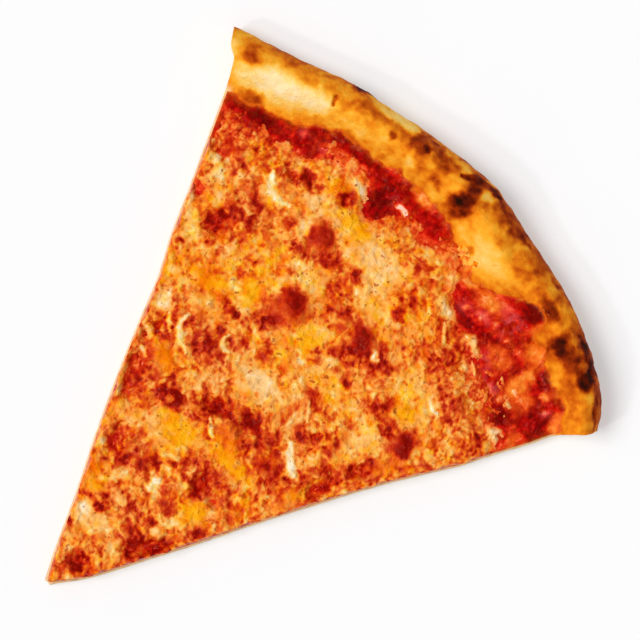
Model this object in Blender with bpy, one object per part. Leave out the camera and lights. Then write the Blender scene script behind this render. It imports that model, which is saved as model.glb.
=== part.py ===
"""A slice of cheese pizza: a thin dough base with a raised, browned rim, a layer of tomato sauce,
and a layer of melted cheese with bare patches of sauce in it.

The slice lies flat, +Z up, with its tip towards -Y and its rim towards +Y. It is laid out in
millimetres round the point where its two cuts would meet, the apex: a place is a radius from the
apex and an angle in degrees, which is 0 along the middle of the slice and positive towards +X.
The finished solids are shifted, so that the origin is the middle of the underside's box.
"""

import math

import bmesh
import bpy
from mathutils import Vector

MM = 0.001

# The cut: a pizza of about 356 mm across, cut in six or seven by eye.
HALF_ANGLE = 26.35
TIP_RADIUS = 3.3
TIP_NARROWING = 0.4
TIP_LENGTH = 3.5

# The rim, by angle: how far it reaches, where it starts to rise from the base, and its height.
RIM_REACH = (
    (-26.4, 176.2), (-20.0, 174.6), (-12.0, 176.9), (-4.0, 178.4), (2.0, 180.0),
    (7.0, 178.6), (14.0, 178.4), (20.0, 177.4), (24.0, 175.2), (26.4, 171.8),
)
RIM_FOOT = (
    (-26.4, 157.0), (-20.0, 156.6), (-12.0, 158.6), (-4.0, 159.8), (2.0, 159.4), (8.0, 156.2),
    (12.0, 160.4), (15.0, 162.6), (19.0, 160.6), (26.4, 157.4),
)
RIM_HEIGHT = (
    (-26.4, 12.4), (-18.0, 13.4), (-8.0, 14.6), (2.0, 16.4), (9.0, 14.0), (17.0, 15.2),
    (21.0, 15.8), (26.4, 13.2),
)
RIM_CREST = 0.58        # where the crest stands, as a share of the rim's width
RIM_UNDERSIDE = 0.66    # where the underside leaves the table, likewise
RIM_WIDEST = 0.42       # the height of the outermost line, as a share of the rim's height

# The cut ends of the rim spring outwards: how far, by radius, on the left and on the right.
LEFT_FLARE = ((150.0, 0.0), (160.0, 0.1), (167.0, 0.7), (170.0, 2.8), (177.0, 4.2))
RIGHT_FLARE = ((150.0, 0.0), (158.0, 0.2), (164.0, 1.6), (167.0, 2.7), (172.0, 2.7))

# Bubbles baked into the rim: x, y, radius and height.
RIM_BUBBLES = (
    (-71.0, 154.0, 6.0, 0.7),
    (-38.0, 167.5, 6.0, 0.9),
    (-17.0, 171.0, 6.0, 1.5),
    (2.5, 170.5, 5.0, 1.6),
    (17.0, 163.5, 8.0, 1.3),
    (33.0, 170.0, 5.0, 0.8),
    (52.5, 161.0, 4.5, 1.4),
    (64.5, 160.5, 5.0, 1.3),
)

# The layers, from the table up.
BASE_THICKNESS = ((0.0, 2.5), (40.0, 3.0), (100.0, 3.6), (150.0, 4.2), (180.0, 4.4))
GAP = 0.3
SAUCE_THICKNESS = 1.1
SAUCE_EDGE_THICKNESS = 0.4
CHEESE_THICKNESS = 2.1
CHEESE_EDGE_THICKNESS = 0.9

# How far the sauce climbs the inside of the rim, by angle.
SAUCE_EDGE = (
    (-26.4, 159.0), (-20.0, 158.4), (-15.0, 160.8), (-10.0, 161.4), (-3.5, 163.0), (0.5, 162.4),
    (4.0, 159.4), (7.5, 157.0), (10.5, 162.0), (13.5, 168.4), (17.0, 165.0), (20.0, 162.2),
    (23.0, 163.0), (26.4, 160.0),
)

# Where the cheese ends and the sauce lies bare below the rim, by angle.
CHEESE_EDGE = (
    (-26.4, 150.0), (-22.0, 149.5), (-17.0, 148.5), (-12.5, 154.0), (-8.5, 154.0), (-5.5, 147.5),
    (-3.0, 153.0), (1.0, 153.0), (4.5, 156.0), (7.0, 153.5), (10.0, 147.0), (14.0, 145.5),
    (18.0, 143.5), (22.0, 141.5), (26.4, 141.0),
)

# Bare patches of sauce in the cheese: x, y, the two half widths and the turn in degrees.
BARE_PATCHES = (
    (-42.5, 112.5, 4.2, 4.0, 0.0),
    (-34.0, 142.0, 4.5, 2.4, -15.0),
    (-54.5, 115.5, 4.0, 2.6, -20.0),
    (-28.0, 65.0, 3.0, 7.0, 28.0),
    (-16.5, 46.5, 3.4, 5.2, 20.0),
    (2.2, 14.8, 3.8, 3.2, 0.0),
    (13.5, 34.0, 2.8, 6.4, -28.0),
    (10.0, 56.5, 2.8, 4.2, 12.0),
    (7.0, 78.5, 2.8, 4.4, 15.0),
    (-4.5, 74.5, 4.0, 2.6, 20.0),
    (34.5, 81.0, 2.8, 5.0, -28.0),
)
PATCH_SIDES = 14
PATCH_RIPPLE = 0.14
PATCH_CUTTER_DEPTH = 20.0

# Blisters of browned cheese: x, y, radius and height.
CHEESE_BLISTERS = (
    (-10.5, 110.5, 6.0, 1.5),
    (-18.0, 132.0, 5.0, 1.2),
    (12.0, 120.5, 4.5, 1.2),
    (42.5, 107.5, 4.5, 1.1),
    (29.5, 110.0, 4.5, 0.9),
    (-37.0, 119.0, 4.5, 0.8),
    (-14.5, 67.5, 4.2, 0.9),
    (-6.5, 31.0, 3.8, 0.8),
    (-3.0, 130.5, 3.6, 0.7),
    (13.0, 133.5, 3.8, 0.7),
    (20.5, 88.0, 4.0, 0.7),
    (-4.0, 97.0, 4.0, 0.7),
    (43.5, 126.0, 4.0, 0.8),
    (-17.0, 86.0, 5.0, 0.8),
)
CHEESE_SWELLS = ((0.30, 0.17, 0.11, 0.4), (0.22, -0.21, 0.26, 1.9), (0.16, 0.37, -0.19, 3.1))

# How finely each region is divided, in millimetres.
BASE_STEP = 7.5
CHEESE_STEP = 3.6
RIM_STEP = 4.6
SAUCE_BAND_ROWS = 4
RIM_INNER_ROWS = 5
RIM_OUTER_ROWS = 7
RIM_OUTER_SHARE = 0.5   # the outer share of the rim above the sauce whose rows close up


def through(stations, at):
    """The height of the smooth curve through the stations, held level beyond the first and last."""
    if at <= stations[0][0]:
        return stations[0][1]
    if at >= stations[-1][0]:
        return stations[-1][1]
    last = len(stations) - 2
    i = max(k for k in range(last + 1) if stations[k][0] <= at)
    (x0, y0), (x1, y1) = stations[i], stations[i + 1]

    def slope(k):
        before, after = stations[max(k - 1, 0)], stations[min(k + 1, last + 1)]
        return (after[1] - before[1]) / (after[0] - before[0])

    width = x1 - x0
    t = (at - x0) / width
    return (
        (2 * t**3 - 3 * t**2 + 1) * y0
        + (t**3 - 2 * t**2 + t) * slope(i) * width
        + (3 * t**2 - 2 * t**3) * y1
        + (t**3 - t**2) * slope(i + 1) * width
    )


def smooth(share):
    """0 to 1, level at both ends."""
    share = min(max(share, 0.0), 1.0)
    return share * share * (3 - 2 * share)


def cut_share(radius, angle):
    """How much wider or narrower the cut leaves the slice than a plain wedge, at this radius."""
    flare = through(LEFT_FLARE if angle < 0 else RIGHT_FLARE, radius)
    spring = flare / (radius * math.radians(HALF_ANGLE))
    blunt = TIP_NARROWING * math.exp(-(radius - TIP_RADIUS) / TIP_LENGTH)
    return 1 + spring - blunt


def row(radius_at, step):
    """One row of places across the slice, from the left cut to the right cut, as (radius, angle)."""
    count = max(2, round(2 * math.radians(HALF_ANGLE) * radius_at(0.0) / step))
    angles = [HALF_ANGLE * (2 * i / count - 1) for i in range(count + 1)]
    return [(radius_at(angle), angle) for angle in angles]


def xy(place):
    """Where a place lies, once the cut has spread or narrowed the wedge there."""
    radius, angle = place
    turn = math.radians(angle * cut_share(radius, angle))
    return Vector((radius * math.sin(turn), radius * math.cos(turn)))


def cheese_edge(angle):
    return through(CHEESE_EDGE, angle)


def sauce_edge(angle):
    return through(SAUCE_EDGE, angle)


def rim_foot(angle):
    return through(RIM_FOOT, angle)


def rim_reach(angle):
    return through(RIM_REACH, angle)


def rows_between(near, far, shares, step):
    """Rows whose radii are these shares of the way from the near curve to the far one."""
    return [
        row(lambda angle, s=share: near(angle) + s * (far(angle) - near(angle)), step)
        for share in shares
    ]


def rows_to_cheese_edge(step):
    """Rows from the blunt tip to the edge of the cheese, about a step apart."""
    count = round(cheese_edge(0.0) / step)
    return rows_between(lambda angle: TIP_RADIUS, cheese_edge, [i / count for i in range(count + 1)], step)


def rows_to_sauce_edge():
    shares = [i / SAUCE_BAND_ROWS for i in range(1, SAUCE_BAND_ROWS + 1)]
    return rows_between(cheese_edge, sauce_edge, shares, RIM_STEP)


def rows_over_rim():
    """Rows over the rim, closer together towards its outermost line, where it turns under."""
    inner_share = 1 - RIM_OUTER_SHARE
    inner = [inner_share * i / RIM_INNER_ROWS for i in range(1, RIM_INNER_ROWS + 1)]
    turns = [math.radians(90 * i / RIM_OUTER_ROWS) for i in range(1, RIM_OUTER_ROWS + 1)]
    outer = [inner_share + RIM_OUTER_SHARE * math.sin(turn) for turn in turns]
    return rows_between(sauce_edge, rim_reach, inner + outer, RIM_STEP)


def rim_share(place):
    """How far over the rim a place is: 0 or less inside its foot, 1 at its outermost line."""
    radius, angle = place
    foot = rim_foot(angle)
    return (radius - foot) / (rim_reach(angle) - foot)


def bumps(place, domes):
    """The height that rounded domes add at a place."""
    x, y = xy(place)
    return sum(
        height * math.exp(-2 * ((x - cx) ** 2 + (y - cy) ** 2) / size**2)
        for cx, cy, size, height in domes
    )


def dough_top(place):
    """The dough's upper surface: a thin base that rises over the rim and rounds off outside it."""
    share = rim_share(place)
    base = through(BASE_THICKNESS, place[0])
    if share <= 0:
        return base
    height = through(RIM_HEIGHT, place[1])
    if share <= RIM_CREST:
        rounded = base + (height - base) * smooth(share / RIM_CREST)
    else:
        over = min((share - RIM_CREST) / (1 - RIM_CREST), 1.0)
        widest = RIM_WIDEST * height
        rounded = widest + (height - widest) * math.sqrt(1 - over * over)
    return rounded + bumps(place, RIM_BUBBLES) * math.sin(math.pi * min(share, 1.0))


def dough_bottom(place):
    """The underside: flat on the table, and tucked up under the outer part of the rim."""
    share = min(rim_share(place), 1.0)
    if share <= RIM_UNDERSIDE:
        return 0.0
    over = (share - RIM_UNDERSIDE) / (1 - RIM_UNDERSIDE)
    return RIM_WIDEST * through(RIM_HEIGHT, place[1]) * (1 - math.sqrt(1 - over * over))


def sauce_bottom(place):
    return dough_top(place) + GAP


def sauce_top(place):
    """The sauce thins out as it climbs the inside of the rim."""
    radius, angle = place
    edge = cheese_edge(angle)
    climbed = smooth((radius - edge) / (sauce_edge(angle) - edge))
    return sauce_bottom(place) + SAUCE_THICKNESS + (SAUCE_EDGE_THICKNESS - SAUCE_THICKNESS) * climbed


def cheese_bottom(place):
    return sauce_top(place) + GAP


def cheese_top(place):
    """The cheese swells and dips, stands up in blisters, and thins towards its edge below the rim."""
    x, y = xy(place)
    radius, angle = place
    edge = smooth((cheese_edge(angle) - radius) / (3 * CHEESE_THICKNESS))
    swells = sum(size * math.sin(a * x + b * y + turn) for size, a, b, turn in CHEESE_SWELLS)
    body = CHEESE_EDGE_THICKNESS + edge * (CHEESE_THICKNESS - CHEESE_EDGE_THICKNESS + swells)
    return cheese_bottom(place) + body + edge * bumps(place, CHEESE_BLISTERS)


def zipped(near, far):
    """Triangles between two rows of vertices that may differ in number."""
    i, j = 0, 0
    while i < len(near) - 1 or j < len(far) - 1:
        near_next = (i + 1) / (len(near) - 1) if i < len(near) - 1 else 2.0
        far_next = (j + 1) / (len(far) - 1) if j < len(far) - 1 else 2.0
        if near_next < far_next:
            yield near[i], near[i + 1], far[j]
            i += 1
        else:
            yield near[i], far[j + 1], far[j]
            j += 1


def material(name, colour, roughness):
    made = bpy.data.materials.new(name)
    made.use_nodes = True
    shader = made.node_tree.nodes["Principled BSDF"]
    shader.inputs["Base Color"].default_value = (*colour, 1.0)
    shader.inputs["Roughness"].default_value = roughness
    shader.inputs["Metallic"].default_value = 0.0
    return made


def layer(name, rows, top, bottom, finish, meets_at_last_row=False):
    """A closed solid over the rows, between its top and bottom surfaces, with walls at the cuts.

    Where the two surfaces meet at the last row, they share its vertices.
    """
    bm = bmesh.new()
    above = [[bm.verts.new((*xy(p), top(p))) for p in places] for places in rows]
    under_rows = rows[:-1] if meets_at_last_row else rows
    below = [[bm.verts.new((*xy(p), bottom(p))) for p in places] for places in under_rows]
    if meets_at_last_row:
        below.append(above[-1])
    for surface in (above, below):
        for near, far in zip(surface, surface[1:]):
            for corners in zipped(near, far):
                bm.faces.new(corners)
    for end in (0, -1):
        for i in range(len(rows) - 1):
            corners = (above[i][end], above[i + 1][end], below[i + 1][end], below[i][end])
            bm.faces.new(dict.fromkeys(corners))
    walls = [(above[0], below[0])]
    if not meets_at_last_row:
        walls.append((above[-1], below[-1]))
    for upper, lower in walls:
        for i in range(len(upper) - 1):
            bm.faces.new((upper[i], upper[i + 1], lower[i + 1], lower[i]))
    bmesh.ops.scale(bm, vec=(MM, MM, MM), verts=bm.verts)
    bmesh.ops.recalc_face_normals(bm, faces=bm.faces)
    mesh = bpy.data.meshes.new(name)
    bm.to_mesh(mesh)
    bm.free()
    mesh.materials.append(finish)
    mesh.shade_smooth()
    mesh.set_sharp_from_angle(angle=math.radians(40))
    piece = bpy.data.objects.new(name, mesh)
    bpy.context.scene.collection.objects.link(piece)
    return piece


def patch_cutter(number, patch):
    """An upright prism with a rippled outline, which bares the sauce under it."""
    x, y, half_x, half_y, turn = patch
    cos_turn, sin_turn = math.cos(math.radians(turn)), math.sin(math.radians(turn))
    bm = bmesh.new()
    ring = []
    for i in range(PATCH_SIDES):
        a = 2 * math.pi * i / PATCH_SIDES
        size = 1 + PATCH_RIPPLE * math.sin(3 * a + number) + PATCH_RIPPLE / 2 * math.cos(5 * a - number)
        px, py = half_x * size * math.cos(a), half_y * size * math.sin(a)
        ring.append(bm.verts.new((x + px * cos_turn - py * sin_turn, y + px * sin_turn + py * cos_turn, 0)))
    floor = bm.faces.new(ring)
    raised = bmesh.ops.extrude_face_region(bm, geom=[floor])
    for element in raised["geom"]:
        if isinstance(element, bmesh.types.BMVert):
            element.co.z += PATCH_CUTTER_DEPTH
    bmesh.ops.scale(bm, vec=(MM, MM, MM), verts=bm.verts)
    bmesh.ops.recalc_face_normals(bm, faces=bm.faces)
    mesh = bpy.data.meshes.new(f"patch_cutter_{number}")
    bm.to_mesh(mesh)
    bm.free()
    cutter = bpy.data.objects.new(mesh.name, mesh)
    bpy.context.scene.collection.objects.link(cutter)
    cutter.hide_render = True
    cutter.display_type = "WIRE"
    return cutter


def crust():
    rows = rows_to_cheese_edge(BASE_STEP) + rows_to_sauce_edge() + rows_over_rim()
    finish = material("baked_dough", (0.76, 0.43, 0.14), 0.6)
    return layer("crust", rows, dough_top, dough_bottom, finish, meets_at_last_row=True)


def tomato_sauce():
    rows = rows_to_cheese_edge(BASE_STEP) + rows_to_sauce_edge()
    finish = material("tomato_sauce", (0.50, 0.02, 0.004), 0.3)
    return layer("tomato_sauce", rows, sauce_top, sauce_bottom, finish)


def melted_cheese():
    finish = material("melted_cheese", (0.85, 0.36, 0.06), 0.35)
    rows = rows_to_cheese_edge(CHEESE_STEP)
    piece = layer("melted_cheese", rows, cheese_top, cheese_bottom, finish)
    cutters = []
    for number, patch in enumerate(BARE_PATCHES):
        cutter = patch_cutter(number, patch)
        cut = piece.modifiers.new(f"bare_patch_{number}", "BOOLEAN")
        cut.operation = "DIFFERENCE"
        cut.object = cutter
        cutters.append(cutter)
    return piece, cutters


def centre_on_underside(box_of, others):
    """Shifts everything so that the origin is the middle of this piece's box, seen from above."""
    xs = [v.co.x for v in box_of.data.vertices]
    ys = [v.co.y for v in box_of.data.vertices]
    shift = Vector((-(min(xs) + max(xs)) / 2, -(min(ys) + max(ys)) / 2, 0.0))
    for piece in (box_of, *others):
        piece.location = shift


def main():
    for leftover in list(bpy.data.objects):
        bpy.data.objects.remove(leftover)
    base = crust()
    sauce = tomato_sauce()
    cheese, cutters = melted_cheese()
    centre_on_underside(base, (sauce, cheese, *cutters))


main()
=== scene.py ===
# %% [markdown]
# # A slice of cheese pizza
# A slice is three layers of food baked together: a dough base that ends in a puffed, browned rim,
# a layer of tomato sauce, and a layer of melted cheese. Seen from above it is mostly cheese, with
# the sauce lying bare below the rim and wherever the cheese melted apart.
#
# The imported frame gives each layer's plain solid. Each is replaced here by a finer one with the
# same outline, so the first step is to load the frame and keep its box.

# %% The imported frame
import math

import bmesh
import bpy
import numpy as np
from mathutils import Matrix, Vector


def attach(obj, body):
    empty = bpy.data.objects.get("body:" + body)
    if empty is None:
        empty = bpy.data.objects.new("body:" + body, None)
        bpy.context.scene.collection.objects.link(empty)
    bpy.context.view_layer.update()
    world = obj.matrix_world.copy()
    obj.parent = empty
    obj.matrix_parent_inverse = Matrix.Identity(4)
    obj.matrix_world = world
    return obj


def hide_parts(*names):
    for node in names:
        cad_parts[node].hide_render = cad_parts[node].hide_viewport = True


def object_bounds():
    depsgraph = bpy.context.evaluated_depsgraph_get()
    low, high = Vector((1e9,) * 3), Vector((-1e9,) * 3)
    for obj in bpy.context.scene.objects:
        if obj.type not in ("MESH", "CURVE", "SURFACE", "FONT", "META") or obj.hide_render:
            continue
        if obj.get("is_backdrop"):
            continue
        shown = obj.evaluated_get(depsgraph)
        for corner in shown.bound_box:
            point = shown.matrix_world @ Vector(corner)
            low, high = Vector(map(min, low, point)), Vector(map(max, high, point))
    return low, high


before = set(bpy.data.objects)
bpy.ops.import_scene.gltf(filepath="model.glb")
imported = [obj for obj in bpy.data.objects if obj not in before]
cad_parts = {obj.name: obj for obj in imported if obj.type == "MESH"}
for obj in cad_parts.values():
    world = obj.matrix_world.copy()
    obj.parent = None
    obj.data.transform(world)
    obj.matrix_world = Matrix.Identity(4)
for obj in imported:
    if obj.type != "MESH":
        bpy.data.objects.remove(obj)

CAD_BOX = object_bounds()
print("solids:", sorted(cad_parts))
print("box in mm:", [tuple(round(c * 1000, 1) for c in corner) for corner in CAD_BOX])

# %% [markdown]
# ## The measures
# A slice is laid out best round its apex, the point where its two straight cuts would meet. A place
# is then a radius from the apex and an angle from the middle line of the slice, in millimetres and
# degrees, with +X to the right and +Y from the tip to the rim. These are the measures of the solids,
# repeated here so that the fine layers follow the same outline and the same rise of the rim. Only the
# three tables called WANDER are new: a wheel pushed by hand strays by a millimetre or so, and a rim
# pressed out by hand has shallow dents, which a fine skin can show and a plain solid need not.

# %% The measures of the slice
MM = 0.001
HALF_ANGLE = 26.35
TIP_RADIUS = 3.3
TIP_NARROWING = 0.4
TIP_LENGTH = 3.5
LEFT_FLARE = ((150.0, 0.0), (160.0, 0.1), (167.0, 0.7), (170.0, 2.8), (177.0, 4.2))
RIGHT_FLARE = ((150.0, 0.0), (158.0, 0.2), (164.0, 1.6), (167.0, 2.7), (172.0, 2.7))
LEFT_WANDER = (
    (10.0, 0.1), (30.0, -0.1), (50.0, 0.6), (70.0, 0.6), (85.0, 0.1), (100.0, -0.5),
    (112.0, 0.2), (125.0, 0.0),
)
RIGHT_WANDER = (
    (5.0, 0.3), (15.0, 1.2), (35.0, 1.0), (50.0, 0.8), (65.0, 0.2), (85.0, -0.1), (105.0, -0.1),
    (120.0, 0.6), (130.0, 1.2), (140.0, 0.9), (152.0, 0.9), (158.0, 0.4), (166.0, 0.0),
)
RIM_REACH = (
    (-26.4, 176.2), (-20.0, 174.6), (-12.0, 176.9), (-4.0, 178.4), (2.0, 180.0),
    (7.0, 178.6), (14.0, 178.4), (20.0, 177.4), (24.0, 175.2), (26.4, 171.8),
)
RIM_WANDER = (
    (-26.4, -0.4), (-20.0, -0.4), (-14.0, -0.7), (-10.0, -1.6), (-6.0, -1.1), (-1.0, -0.8), (6.0, -0.6),
    (14.0, -0.4), (20.0, -0.7), (26.4, -0.6),
)
RIM_FOOT = (
    (-26.4, 157.0), (-20.0, 156.6), (-12.0, 158.6), (-4.0, 159.8), (2.0, 159.4), (8.0, 156.2),
    (12.0, 160.4), (15.0, 162.6), (19.0, 160.6), (26.4, 157.4),
)
RIM_HEIGHT = (
    (-26.4, 12.4), (-18.0, 13.4), (-8.0, 14.6), (2.0, 16.4), (9.0, 14.0), (17.0, 15.2),
    (21.0, 15.8), (26.4, 13.2),
)
RIM_CREST = 0.58
RIM_UNDERSIDE = 0.66
RIM_WIDEST = 0.42
BASE_THICKNESS = ((0.0, 2.5), (40.0, 3.0), (100.0, 3.6), (150.0, 4.2), (180.0, 4.4))
SAUCE_EDGE = (
    (-26.4, 157.0), (-20.0, 156.6), (-15.0, 160.0), (-10.0, 161.0), (-3.5, 162.6), (0.5, 162.0),
    (4.0, 159.4), (7.5, 157.0), (10.5, 162.0), (13.5, 168.4), (17.0, 165.0), (20.0, 162.2),
    (23.0, 163.0), (26.4, 160.0),
)
CHEESE_EDGE = (
    (-26.4, 150.0), (-22.0, 149.5), (-17.0, 148.5), (-12.5, 154.0), (-8.5, 154.0), (-5.5, 147.5),
    (-3.0, 153.0), (1.0, 153.0), (4.5, 156.0), (7.0, 153.5), (10.0, 147.0), (14.0, 145.5),
    (18.0, 143.5), (22.0, 141.5), (26.4, 141.0),
)
SAUCE_THICKNESS = 1.4
CHEESE_THICKNESS = 2.4
print("cut angle:", 2 * HALF_ANGLE, "degrees; rim reaches", max(reach for _, reach in RIM_REACH), "mm")

# %% [markdown]
# ## Curves through stations
# Everything that changes along the rim is given at a few angles, called stations, and read between
# them from a smooth curve. The functions take whole arrays of places at once, because the layers
# have tens of thousands of points and a loop over them would be slow.

# %% Smooth curves and the outline
def through(stations, at):
    """The height of the smooth curve through the stations, level beyond the first and the last."""
    xs, ys = np.array(stations).T
    ends = np.pad(xs, 1, "edge"), np.pad(ys, 1, "edge")
    slopes = (ends[1][2:] - ends[1][:-2]) / (ends[0][2:] - ends[0][:-2])
    i = np.clip(np.searchsorted(xs, at, side="right") - 1, 0, len(xs) - 2)
    width = xs[i + 1] - xs[i]
    t = np.clip((at - xs[i]) / width, 0, 1)
    return (
        (2 * t**3 - 3 * t**2 + 1) * ys[i]
        + (t**3 - 2 * t**2 + t) * slopes[i] * width
        + (3 * t**2 - 2 * t**3) * ys[i + 1]
        + (t**3 - t**2) * slopes[i + 1] * width
    )


def smooth(share):
    """0 to 1 as the share goes from 0 to 1, level at both ends."""
    share = np.clip(share, 0, 1)
    return share * share * (3 - 2 * share)


def spread(radius, angle):
    """The angle at which a place really lies: the cut ends of the rim spring out, the tip is blunt."""
    left = through(LEFT_FLARE, radius) + through(LEFT_WANDER, radius)
    right = through(RIGHT_FLARE, radius) + through(RIGHT_WANDER, radius)
    flare = np.where(angle < 0, left, right)
    spring = flare / (radius * math.radians(HALF_ANGLE))
    blunt = TIP_NARROWING * np.exp(-(radius - TIP_RADIUS) / TIP_LENGTH)
    return np.radians(angle * (1 + spring - blunt))


def level(radius):
    """A row at one radius, as a function of the angle."""
    return lambda angle: np.full_like(angle, radius)


def curve(stations, shift=0.0):
    """A row that follows a curve of stations, as a function of the angle."""
    return lambda angle: through(stations, angle) + shift


def rows_between(near, far, shares):
    """Rows whose radii are these shares of the way from the near row to the far one."""
    return [lambda angle, s=share: near(angle) + s * (far(angle) - near(angle)) for share in shares]


angles = np.linspace(-HALF_ANGLE, HALF_ANGLE, 400)
reach = curve(RIM_REACH)(angles)
outline = np.stack([reach * np.sin(spread(reach, angles)), reach * np.cos(spread(reach, angles))])
tip = TIP_RADIUS * math.cos(spread(np.array([TIP_RADIUS]), np.array([HALF_ANGLE]))[0])
APEX = np.array([-(outline[0].min() + outline[0].max()) / 2, -(tip + outline[1].max()) / 2])
print("apex in the frame, mm:", APEX.round(2), "rim width:", np.ptp(outline[0]).round(1), "mm")

# %% [markdown]
# ## Natural unevenness
# Baked food is uneven at every scale. Four small functions make that unevenness, and each always
# gives the same result for the same seed: soft hills, hills with finer hills on them, round pits
# scattered one to a cell, as burst bubbles are, and a patchwork of lumps, as crumbled cheese is.

# %% Hills, clouds, pits and granules
TABLE = 128


def hills(x, y, size, seed):
    """Soft random hills and hollows about this wide, between -1 and 1."""
    i, j = np.floor(x / size).astype(int), np.floor(y / size).astype(int)
    u, v = x / size - i, y / size - j
    turns = np.random.default_rng(seed).uniform(0, 2 * np.pi, (TABLE, TABLE))
    total = np.zeros_like(u)
    for di in (0, 1):
        for dj in (0, 1):
            turn = turns[(i + di) % TABLE, (j + dj) % TABLE]
            weight = smooth(1 - abs(u - di)) * smooth(1 - abs(v - dj))
            total += weight * (np.cos(turn) * (u - di) + np.sin(turn) * (v - dj))
    return 1.6 * total


def clouds(x, y, size, seed, layers=3):
    """Hills with finer and lower hills on them."""
    return sum(hills(x, y, size / 2**k, seed + k) / 2**k for k in range(layers))


def pits(x, y, spacing, seed):
    """Round pits of random sizes: 0 outside them, rising to 1 in the middle of each."""
    i, j = np.floor(x / spacing).astype(int), np.floor(y / spacing).astype(int)
    u, v = x / spacing - i, y / spacing - j
    rng = np.random.default_rng(seed)
    places = rng.uniform(0.1, 0.9, (2, TABLE, TABLE))
    sizes = rng.uniform(0.12, 0.42, (TABLE, TABLE))
    depth = np.zeros_like(u)
    for di in (-1, 0, 1):
        for dj in (-1, 0, 1):
            cell = (i + di) % TABLE, (j + dj) % TABLE
            away = np.hypot(u - di - places[0][cell], v - dj - places[1][cell])
            depth = np.maximum(depth, 1 - away / sizes[cell])
    return smooth(depth)


def granules(x, y, size, seed):
    """A patchwork of rounded lumps: 0 at the seams to 1 inside, and a number from -1 to 1 for each."""
    i, j = np.floor(x / size).astype(int), np.floor(y / size).astype(int)
    u, v = x / size - i, y / size - j
    rng = np.random.default_rng(seed)
    places = rng.uniform(0.05, 0.95, (2, TABLE, TABLE))
    numbers = rng.uniform(-1, 1, (TABLE, TABLE))
    nearest, second, number = np.full_like(u, 9.0), np.full_like(u, 9.0), np.zeros_like(u)
    for di in (-1, 0, 1):
        for dj in (-1, 0, 1):
            cell = (i + di) % TABLE, (j + dj) % TABLE
            away = np.hypot(u - di - places[0][cell], v - dj - places[1][cell])
            number = np.where(away < nearest, numbers[cell], number)
            second = np.minimum(second, np.maximum(away, nearest))
            nearest = np.minimum(away, nearest)
    inside = smooth((second - nearest) / 0.4)
    return inside, number * inside


trial = np.random.default_rng(1).uniform(0, 100, (2, 5000))
print("hills span", hills(*trial, 5.0, 2).min().round(2), "to", hills(*trial, 5.0, 2).max().round(2))

# %% [markdown]
# ## Marks
# What makes this slice the one it is, and not just any slice, is where each blister, scorch and
# pool lies. Each is an oval mark given one by one: its middle, its half width and half length, the
# value that it paints over what is there, and its turn in degrees where it has one. Strokes do the
# same along a short line, for folds and strings of cheese. Ragged coordinates keep their edges from
# looking drawn.

# %% Painting with marks and strokes
def painted(value, x, y, marks, soft=0.8):
    """Paints oval marks (x, y, half width, half length, new value, and any turn) over the values."""
    for mark_x, mark_y, half_x, half_y, new, *turn in marks:
        angle = math.radians(turn[0] if turn else 0)
        cos_turn, sin_turn = math.cos(angle), math.sin(angle)
        u = ((x - mark_x) * cos_turn + (y - mark_y) * sin_turn) / half_x
        v = ((y - mark_y) * cos_turn - (x - mark_x) * sin_turn) / half_y
        value = value + smooth((1 + soft / 2 - np.hypot(u, v)) / soft) * (new - value)
    return value


def stroked(value, x, y, strokes):
    """Paints strokes (half width, new value, points along the line), thinner towards their ends."""
    for half_width, new, points in strokes:
        steps = np.linspace(0, len(points) - 1, 8 * len(points))
        line = [through(list(enumerate(places)), steps) for places in zip(*points)]
        widths = half_width * (0.45 + 0.55 * np.sin(math.pi * steps / steps[-1]))
        away = np.full_like(x, np.inf)
        for line_x, line_y, width in zip(*line, widths):
            away = np.minimum(away, np.hypot(x - line_x, y - line_y) / width)
        value = value + smooth(1.5 - away) * (new - value)
    return value


def ragged(x, y, amount, size, seed):
    """The same places, pushed about by hills, so that what is painted on them has uneven edges."""
    return x + amount * clouds(x, y, size, seed), y + amount * clouds(x, y, size, seed + 50)


def bumps(x, y, domes):
    """The height of rounded domes (x, y, radius, height)."""
    return sum(h * np.exp(-2 * ((x - cx) ** 2 + (y - cy) ** 2) / size**2) for cx, cy, size, h in domes)


# %% [markdown]
# ## The skin of a layer
# Each layer is one closed skin: a top, an underside, and walls where it was cut. The top and the
# underside are rows of points from the tip to the far edge, and a row may have more points than the
# next, because a zipper of triangles joins them. So the shown top can be fine and the hidden
# underside coarse. The walls are grids between the two, fine enough to carve crumb into.

# %% Rows, zippers and walls
def zipped(near, far):
    """Triangles between two rows of vertices that may differ in number."""
    i, j = 0, 0
    while i < len(near) - 1 or j < len(far) - 1:
        near_next = (i + 1) / (len(near) - 1) if i < len(near) - 1 else 2.0
        far_next = (j + 1) / (len(far) - 1) if j < len(far) - 1 else 2.0
        if near_next < far_next:
            yield near[i], near[i + 1], far[j]
            i += 1
        else:
            yield near[i], far[j + 1], far[j]
            j += 1


def cells_across(row, step):
    """How many cells of about this size a row has from cut to cut."""
    return max(2, round(2 * math.radians(HALF_ANGLE) * float(row(np.zeros(1))[0]) / step))


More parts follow.
